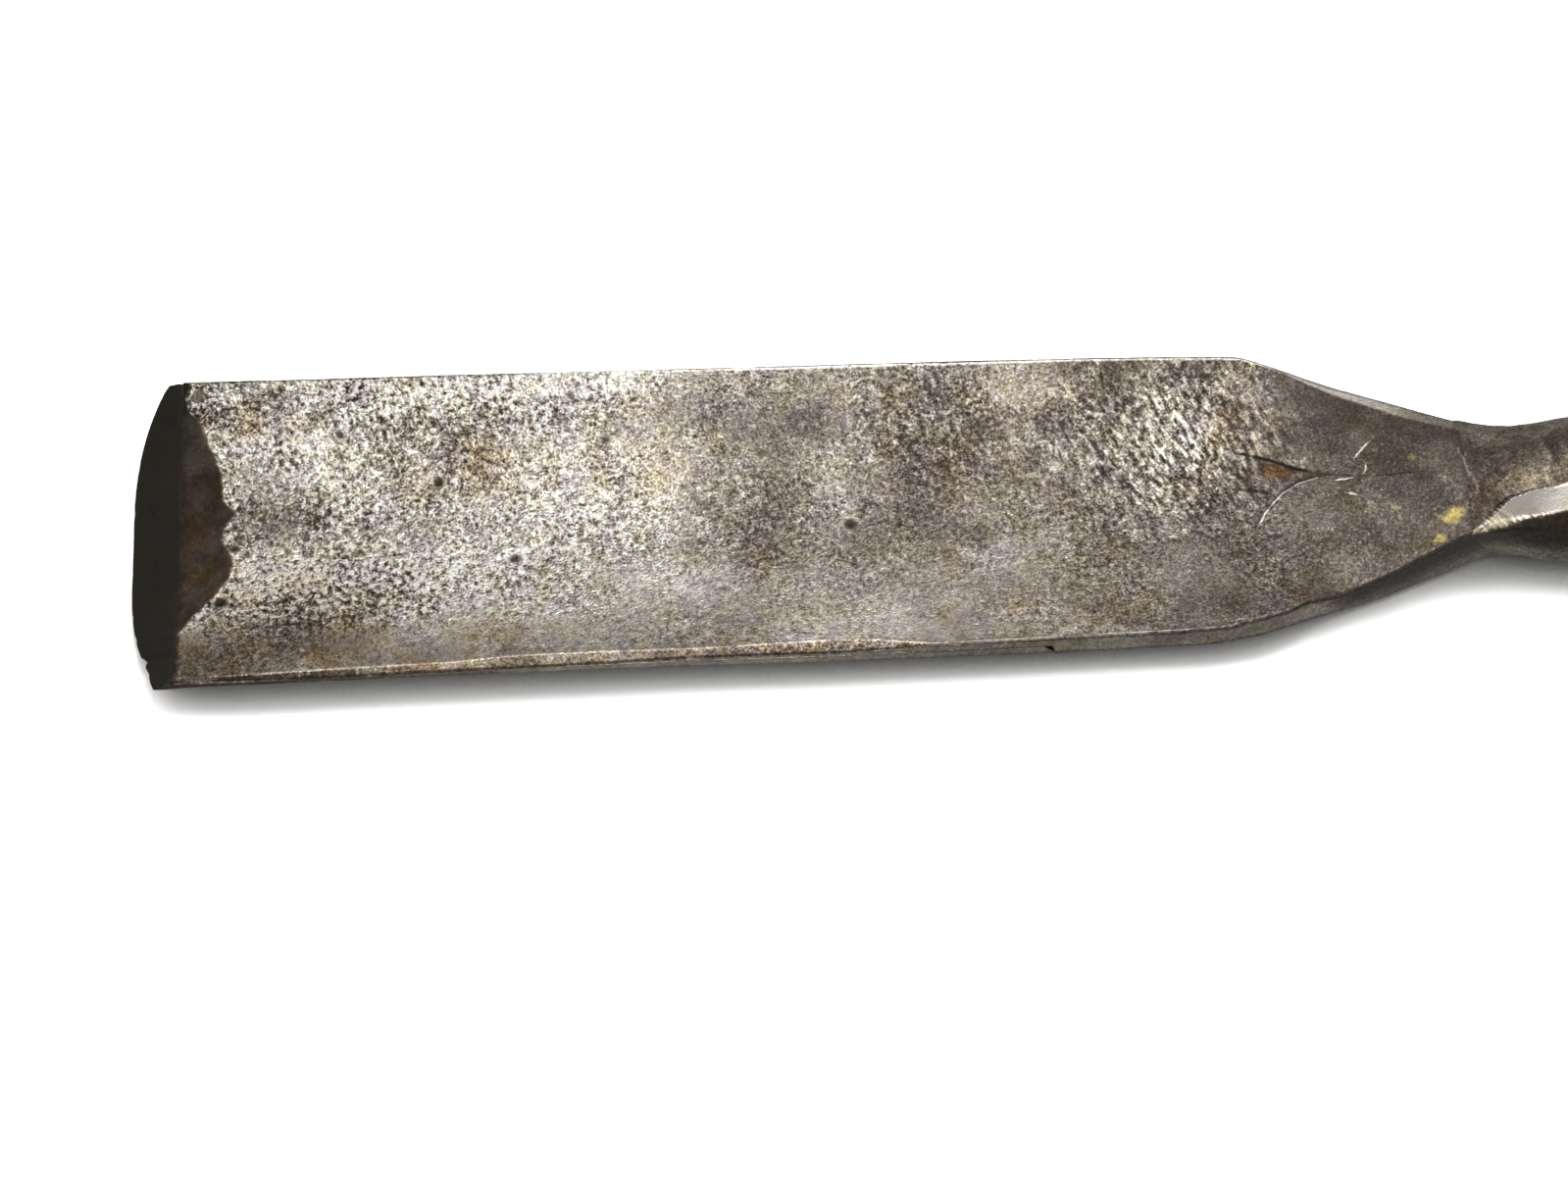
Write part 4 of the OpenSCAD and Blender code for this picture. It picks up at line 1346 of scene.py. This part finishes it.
def iron_colour(tree, place, mark, toned, deep_pit, coarse):
    """Colour of the metal by its tone, cooler or warmer in places, with brown rust and lacquer on it."""
    metal = add(tree, "ShaderNodeValToRGB", {"Fac": toned}, IRON_TONES).outputs["Color"]
    tint_noise = add(tree, "ShaderNodeTexNoise", {"Vector": place, "Scale": every(TINT_MM), "Detail": 3.5,
                                                  "Roughness": 0.7}).outputs["Fac"]
    tint = add(tree, "ShaderNodeMapRange", {"Value": tint_noise, "From Min": 0.4, "From Max": 0.65,
                                            "To Min": 0.4, "To Max": 1.0}).outputs[0]
    brown_pit = add(tree, "ShaderNodeMath", {0: deep_pit, 1: 0.45}, operation="MULTIPLY").outputs[0]
    rusty = add(tree, "ShaderNodeMath", {0: mark["rust"], 1: tint, 2: brown_pit}, operation="MULTIPLY_ADD",
                use_clamp=True).outputs[0]
    blued = add(tree, "ShaderNodeValToRGB", {"Fac": tint_noise}, TINTS).outputs["Color"]
    cooled = add(tree, "ShaderNodeMix", {0: 1.0, 6: metal, 7: blued}, data_type="RGBA",
                 blend_type="MULTIPLY").outputs[2]
    rust_colour = add(tree, "ShaderNodeValToRGB", {"Fac": rusty}, RUST_TONES).outputs["Color"]
    brown = add(tree, "ShaderNodeMix", {0: 1.0, 6: cooled, 7: rust_colour}, data_type="RGBA",
                blend_type="MULTIPLY").outputs[2]
    flecks = add(tree, "ShaderNodeMapRange", {"Value": coarse, "From Min": 0.36, "From Max": 0.56,
                                              "To Min": 0.25, "To Max": 1.0}).outputs[0]
    lacquered = add(tree, "ShaderNodeMath", {0: mark["lacquer"], 1: flecks}, operation="MULTIPLY").outputs[0]
    return add(tree, "ShaderNodeMix", {0: lacquered, 6: brown, 7: linear(OLD_LACQUER)},
               data_type="RGBA").outputs[2]


def iron_finish(name, coarse_mm, fine_mm, gains):
    """Forged iron, wire-brushed: bright grains between dark pits, and brown scale left in the hollows."""
    material, tree, shader = start_material(name)
    place = add(tree, "ShaderNodeTexCoord").outputs["Object"]
    mark = {kind: add(tree, "ShaderNodeAttribute", attribute_name=kind).outputs["Fac"] for kind in IRON_MARKS}
    coarse = add(tree, "ShaderNodeTexNoise", {"Vector": place, "Scale": every(coarse_mm), "Detail": 3.5,
                                              "Roughness": 0.78}).outputs["Fac"]
    plain = add(tree, "ShaderNodeMapRange", {"Value": mark["ground"], "From Min": 0.0, "From Max": 1.0,
                                             "To Min": 1.0, "To Max": 0.3}).outputs[0]
    cluster_noise = add(tree, "ShaderNodeTexNoise", {"Vector": place, "Scale": every(CLUSTER_MM),
                                                     "Detail": 2.0, "Roughness": 0.6}).outputs["Fac"]
    cluster = add(tree, "ShaderNodeMapRange", {"Value": cluster_noise, "From Min": 0.48, "From Max": 0.62,
                                               "To Min": 0.0, "To Max": 1.0}).outputs[0]
    grains = iron_grains(tree, place, mark, plain, coarse, fine_mm, gains)
    flecked = iron_flecks(tree, place, mark, plain, cluster)
    deep_pit = iron_pits(tree, place, mark, cluster)
    darkened = add(tree, "ShaderNodeMath", {0: deep_pit, 1: -0.32, 2: flecked},
                   operation="MULTIPLY_ADD").outputs[0]
    # The line marks brighten or darken the metal: painted shade and highlights along creases, arrises and the
    # facet, and real scratches and weld lines
    off_line = add(tree, "ShaderNodeMath", {0: mark["line_side"]}, operation="ABSOLUTE").outputs[0]
    on_line = add(tree, "ShaderNodeMapRange", {"Value": off_line, "From Min": 0.4, "From Max": 1.1,
                                               "To Min": 1.0, "To Max": 0.0}).outputs[0]
    lined = add(tree, "ShaderNodeMath", {0: on_line, 1: mark["line"], 2: darkened},
                operation="MULTIPLY_ADD").outputs[0]
    toned = add(tree, "ShaderNodeMath", {0: lined, 1: grains}, operation="ADD").outputs[0]
    colour = iron_colour(tree, place, mark, toned, deep_pit, coarse)
    rough = add(tree, "ShaderNodeMapRange", {"Value": toned, "From Min": 0.1, "From Max": 0.8,
                                             "To Min": 0.58, "To Max": 0.36}).outputs[0]
    metallic = add(tree, "ShaderNodeMapRange", {"Value": toned, "From Min": 0.1, "From Max": 0.45,
                                                "To Min": 0.45, "To Max": 1.0}).outputs[0]
    height = add(tree, "ShaderNodeMath", {0: toned, 1: mark["tone"]}, operation="SUBTRACT").outputs[0]
    bump = add(tree, "ShaderNodeBump", {"Strength": 0.6, "Distance": 0.16 * MM, "Height": height}).outputs[0]
    finish(tree, shader, {"Base Color": colour, "Roughness": rough, "Metallic": metallic, "Normal": bump})
    return material


def worn_iron():
    """Wrought iron, pitted like sand and cleaned bright; grains are about half a millimetre across."""
    return iron_finish("wrought_iron_pitted", 0.88, 0.36, (0.52, 0.15))


def laid_steel():
    """Tool steel under a dark oiled patina and a painted dark reflection: the ground bevel is smooth and
    nearly black.
    """
    return iron_finish("tool_steel_oiled", 1.1, 0.38, (0.40, 0.10))


def socket_iron():
    """Forged iron with brown-purple scale, with painted highlights on its facet and beside the neck."""
    return iron_finish("forged_iron_brown", 1.1, 0.38, (0.40, 0.12))


# Wood from pale early growth to dark late growth, its open pores, grime and end grain
WOOD_TONES = [(0.2, "#c89b66"), (0.45, "#b7864f"), (0.62, "#a5723f"), (0.8, "#8c5b2e"), (1.0, "#744823")]
WOOD_PORES = "#6a4626"
HAND_GRIME = "#2c1b10"
END_GRAIN = "#4a2f1b"

# The trunk's heart lies about 55 mm from the handle's axis, given here in metres, and runs at a slight angle
# to it; its year rings are this wide, and change slowly along it
TRUNK_PLACE = (0.0, 0.021, 0.034)
TRUNK_TILT = (0.0, 0.015, 0.02)
TRUNK_SCALE = (0.02, 1.0, 1.0)
RING_MM = 3.7


def handle_wood():
    """Ash, turned and oiled: straight grain with dark pores, and grime where the hand doesn't rub it off."""
    material, tree, shader = start_material("ash_oiled")
    place = add(tree, "ShaderNodeTexCoord").outputs["Object"]
    grime, end_grain, held = [add(tree, "ShaderNodeAttribute", attribute_name=mark).outputs["Fac"]
                              for mark in ("grime", "end_grain", "held")]
    trunk = add(tree, "ShaderNodeMapping", {"Vector": place, "Location": TRUNK_PLACE, "Rotation": TRUNK_TILT,
                                            "Scale": TRUNK_SCALE}).outputs[0]
    sway = add(tree, "ShaderNodeTexNoise", {"Vector": trunk, "Scale": every(14), "Detail": 3.0,
                                            "Roughness": 0.55}).outputs["Color"]
    bent = add(tree, "ShaderNodeMix", {0: 0.012, 4: trunk, 5: sway}, data_type="VECTOR").outputs[1]
    even = add(tree, "ShaderNodeTexWave", {"Vector": bent, "Scale": every(RING_MM) * 2 * math.pi / 20,
                                           "Distortion": 2.2, "Detail": 2.0, "Detail Scale": 1.0},
               wave_type="RINGS", rings_direction="X", wave_profile="SAW").outputs["Fac"]
    streaks = add(tree, "ShaderNodeTexNoise", {"Vector": bent, "Scale": every(2.4), "Detail": 3.0,
                                               "Roughness": 0.65}).outputs["Fac"]
    rings = add(tree, "ShaderNodeMix", {0: 0.68, 2: even, 3: streaks}, data_type="FLOAT").outputs[0]
    fibre_place = add(tree, "ShaderNodeMapping", {"Vector": place, "Scale": (0.035, 1.0, 1.0)}).outputs[0]
    fibres = add(tree, "ShaderNodeTexNoise", {"Vector": fibre_place, "Scale": every(0.5), "Detail": 3.0,
                                              "Roughness": 0.7}).outputs["Fac"]
    pores = add(tree, "ShaderNodeTexNoise", {"Vector": fibre_place, "Scale": every(0.8),
                                             "Detail": 1.0}).outputs["Fac"]
    early = add(tree, "ShaderNodeMath", {0: rings, 1: pores}, operation="MULTIPLY").outputs[0]
    pored = add(tree, "ShaderNodeMapRange", {"Value": early, "From Min": 0.42, "From Max": 0.56}).outputs[0]
    toned = add(tree, "ShaderNodeMath", {0: rings, 1: 0.35, 2: fibres}, operation="MULTIPLY_ADD").outputs[0]
    wood = add(tree, "ShaderNodeValToRGB", {"Fac": toned}, WOOD_TONES).outputs["Color"]
    pore_dark = add(tree, "ShaderNodeMix", {0: pored, 6: wood, 7: linear(WOOD_PORES)},
                    data_type="RGBA").outputs[2]
    dirt = add(tree, "ShaderNodeTexNoise", {"Vector": place, "Scale": every(7), "Detail": 4.0}).outputs["Fac"]
    dirty = add(tree, "ShaderNodeMath", {0: grime, 1: dirt}, operation="MULTIPLY").outputs[0]
    stained = add(tree, "ShaderNodeMix", {0: dirty, 6: pore_dark, 7: linear(HAND_GRIME)},
                  data_type="RGBA").outputs[2]
    cut = add(tree, "ShaderNodeMath", {0: end_grain, 1: 0.55}, operation="MULTIPLY").outputs[0]
    colour = add(tree, "ShaderNodeMix", {0: cut, 6: stained, 7: linear(END_GRAIN)},
                 data_type="RGBA").outputs[2]
    rough = add(tree, "ShaderNodeMapRange", {"Value": held, "From Min": 0.0, "From Max": 1.0,
                                             "To Min": 0.58, "To Max": 0.40}).outputs[0]
    height = add(tree, "ShaderNodeMath", {0: fibres, 1: pored}, operation="SUBTRACT").outputs[0]
    bump = add(tree, "ShaderNodeBump", {"Strength": 0.35, "Distance": 0.12 * MM, "Height": height}).outputs[0]
    finish(tree, shader, {"Base Color": colour, "Roughness": rough, "Normal": bump})
    return material


# Leather: the burnished rim, the struck face and the dirt on both
RIM_TONES = [(0.0, "#26160c"), (0.55, "#3d2413"), (0.85, "#6a4324"), (1.0, "#8d5e35")]
FACE_TONES = [(0.0, "#3a2515"), (0.6, "#6b4a2d"), (0.85, "#97704a"), (1.0, "#b48c62")]
LEATHER_DIRT = "#1f140c"


def leather():
    """Vegetable-tanned sole leather: burnished dark on the rim, matt and fibrous where the mallet strikes."""
    material, tree, shader = start_material("sole_leather_burnished")
    place = add(tree, "ShaderNodeTexCoord").outputs["Object"]
    burnish, struck, dirt = [add(tree, "ShaderNodeAttribute", attribute_name=mark).outputs["Fac"]
                             for mark in ("burnish", "struck", "dirt")]
    squeezed = add(tree, "ShaderNodeMapping", {"Vector": place, "Scale": (1.0, 0.12, 0.12)}).outputs[0]
    layers = add(tree, "ShaderNodeTexNoise", {"Vector": squeezed, "Scale": every(0.5), "Detail": 3.0,
                                              "Roughness": 0.6}).outputs["Fac"]
    fibres = add(tree, "ShaderNodeTexNoise", {"Vector": place, "Scale": every(0.45), "Detail": 3.0,
                                              "Roughness": 0.65}).outputs["Fac"]
    blotch = add(tree, "ShaderNodeTexNoise", {"Vector": place, "Scale": every(4.5),
                                              "Detail": 3.0}).outputs["Fac"]
    grain = add(tree, "ShaderNodeMix", {0: burnish, 2: fibres, 3: layers}, data_type="FLOAT").outputs[0]
    tone = add(tree, "ShaderNodeMath", {0: blotch, 1: 0.6, 2: grain}, operation="MULTIPLY_ADD").outputs[0]
    rim = add(tree, "ShaderNodeValToRGB", {"Fac": tone}, RIM_TONES).outputs["Color"]
    face = add(tree, "ShaderNodeValToRGB", {"Fac": tone}, FACE_TONES).outputs["Color"]
    chosen = add(tree, "ShaderNodeMix", {0: struck, 6: rim, 7: face}, data_type="RGBA").outputs[2]
    soiled = add(tree, "ShaderNodeMath", {0: dirt, 1: 0.45}, operation="MULTIPLY").outputs[0]
    colour = add(tree, "ShaderNodeMix", {0: soiled, 6: chosen, 7: linear(LEATHER_DIRT)},
                 data_type="RGBA").outputs[2]
    rough = add(tree, "ShaderNodeMapRange", {"Value": burnish, "From Min": 0.0, "From Max": 1.0,
                                             "To Min": 0.85, "To Max": 0.52}).outputs[0]
    bump = add(tree, "ShaderNodeBump", {"Strength": 0.5, "Distance": 0.2 * MM, "Height": grain}).outputs[0]
    finish(tree, shader, {"Base Color": colour, "Roughness": rough, "Normal": bump})
    return material


# Stage, light and camera


# The white sheet touches the blade's back and dips under the neck, so that the handle lies on it too
SHEET_HIGH = BACK_Z - 0.05
SHEET_LOW = -0.05
SHEET_DIP = (150.0, 292.0)
SHEET_HALF = 2500.0

# The photograph burns the sheet out to white, so the camera sees it this many times brighter than grey paper;
# where the tool hangs over it the shadow is dark, from the first to the second of these shares of open sky
SHEET_LIFT = 3.6
SHEET_DARK = 0.22
SHEET_SKY = (0.40, 1.0)
SKY_REACH = 14.0

# Between these distances from the tool the sheet turns from lit paper into plain white
SHEET_NEAR = (300.0, 700.0)


def white_sheet():
    """A pale plain floor, its shadow partly painted near the tool; only the camera sees it, and only from
    above.
    """
    near = np.linspace(SHEET_DIP[0], SHEET_DIP[1], 60) + START_X
    xs = np.concatenate([[-SHEET_HALF], near, [SHEET_HALF]])
    rise = mix(SHEET_HIGH, SHEET_LOW, ease((xs - START_X - SHEET_DIP[0]) / (SHEET_DIP[1] - SHEET_DIP[0])))
    points = [(x * MM, side * SHEET_HALF * MM, z * MM) for x, z in zip(xs, rise) for side in (-1, 1)]
    faces = [(2 * k, 2 * k + 2, 2 * k + 3, 2 * k + 1) for k in range(len(xs) - 1)]
    mesh = bpy.data.meshes.new("white_sheet")
    mesh.from_pydata(points, [], faces)
    mesh.shade_smooth()
    sheet = bpy.data.objects.new("white_sheet", mesh)
    bpy.context.scene.collection.objects.link(sheet)
    material = bpy.data.materials.new("white_paper")
    material.use_nodes = True
    tree = material.node_tree
    tree.nodes.clear()
    # Ambient occlusion darkens the paper near the tool: a painted shadow, added to the lamps' own shadow
    sky = add(tree, "ShaderNodeAmbientOcclusion", {"Distance": SKY_REACH * MM}, samples=6).outputs["AO"]
    ao_shadowed_paper = add(tree, "ShaderNodeMapRange", {"Value": sky, "From Min": SHEET_SKY[0], "From Max":
                                                SHEET_SKY[1], "To Min": SHEET_DARK,
                                                "To Max": SHEET_LIFT}).outputs[0]
    paper = add(tree, "ShaderNodeBsdfDiffuse", {"Color": ao_shadowed_paper}).outputs[0]
    burnt = add(tree, "ShaderNodeEmission", {"Color": linear("#ffffff"), "Strength": 1.0}).outputs[0]
    place = add(tree, "ShaderNodeTexCoord").outputs["Object"]
    away = add(tree, "ShaderNodeVectorMath", {0: place}, operation="LENGTH").outputs["Value"]
    far = add(tree, "ShaderNodeMapRange", {"Value": away, "From Min": SHEET_NEAR[0] * MM, "From Max":
                                           SHEET_NEAR[1] * MM}).outputs[0]
    sheet_top = add(tree, "ShaderNodeMixShader", {0: far, 1: paper, 2: burnt}).outputs[0]
    clear = add(tree, "ShaderNodeBsdfTransparent").outputs[0]
    seen = add(tree, "ShaderNodeLightPath").outputs["Is Camera Ray"]
    under = add(tree, "ShaderNodeNewGeometry").outputs["Backfacing"]
    above = add(tree, "ShaderNodeMath", {0: seen, 1: under}, operation="SUBTRACT", use_clamp=True).outputs[0]
    shown = add(tree, "ShaderNodeMixShader", {0: above, 1: clear, 2: sheet_top}).outputs[0]
    add(tree, "ShaderNodeOutputMaterial", {"Surface": shown})
    mesh.materials.append(material)


# A wide pale screen above, and a smaller lamp that gives the shadow: name, size, power and place from the
# point that both shine at; all in metres and watts
SOFT_LAMPS = [("overhead_screen", (1.0, 0.7), 1.7, (0.06, -0.03, 0.60)),
              ("overhead_lamp", (0.14, 0.14), 1.1, (0.05, 0.10, 0.70))]
LAMP_AIM = (-0.10, 0.0, 0.02)


def soft_light():
    """A pale room and two lamps above the blade."""
    world = bpy.data.worlds.new("pale_room")
    bpy.context.scene.world = world
    world.use_nodes = True
    tree = world.node_tree
    tree.nodes.clear()
    room = add(tree, "ShaderNodeBackground", {"Color": linear("#f2f2f0"), "Strength": 0.42}).outputs[0]
    white = add(tree, "ShaderNodeBackground", {"Color": linear("#ffffff"), "Strength": 1.0}).outputs[0]
    seen = add(tree, "ShaderNodeLightPath").outputs["Is Camera Ray"]
    shown = add(tree, "ShaderNodeMixShader", {0: seen, 1: room, 2: white}).outputs[0]
    add(tree, "ShaderNodeOutputWorld", {"Surface": shown})
    for name, size, energy, offset in SOFT_LAMPS:
        lamp = bpy.data.lights.new(name, "AREA")
        lamp.shape = "RECTANGLE"
        lamp.size, lamp.size_y = size
        lamp.energy = energy
        holder = bpy.data.objects.new(name, lamp)
        aim = Vector(LAMP_AIM)
        holder.location = aim + Vector(offset)
        holder.rotation_euler = (aim - holder.location).to_track_quat("-Z", "Y").to_euler()
        bpy.context.scene.collection.objects.link(holder)


# The photograph looks down at 68 degrees, 2.4 degrees round towards the left, from 460 mm away
CAMERA_RISE = math.radians(68.0)
CAMERA_TURN = math.radians(2.41)
CAMERA_FAR = 460.0
CAMERA_AIM = (-116.3, -10.05, 13.4)
CAMERA_LENS = 68.0


def photo_camera():
    """The camera at the photograph's own place."""
    camera = bpy.data.cameras.new("photo_camera")
    camera.lens = CAMERA_LENS
    camera.sensor_width = 36.0
    holder = bpy.data.objects.new("photo_camera", camera)
    bpy.context.scene.collection.objects.link(holder)
    sideways, onward = math.sin(CAMERA_TURN), math.cos(CAMERA_TURN)
    level, down = math.cos(CAMERA_RISE), math.sin(CAMERA_RISE)
    ahead = Vector((sideways * level, onward * level, -down))
    right = Vector((onward, -sideways, 0))
    up = right.cross(ahead)
    turn = Matrix((right, up, -ahead)).transposed()
    holder.matrix_world = Matrix.Translation((Vector(CAMERA_AIM) - CAMERA_FAR * ahead) * MM) @ turn.to_4x4()
    bpy.context.scene.camera = holder


photo_camera()
soft_light()
white_sheet()
bpy.context.scene.view_settings.view_transform = "Standard"

neck_end = blade_iron_piece(worn_iron())
blade_steel_piece(laid_steel())
socket_piece(socket_iron(), neck_end)
handle_piece(handle_wood())
sole_leather = leather()
for washer in (1, 2, 3, 4):
    washer_piece(washer, sole_leather)
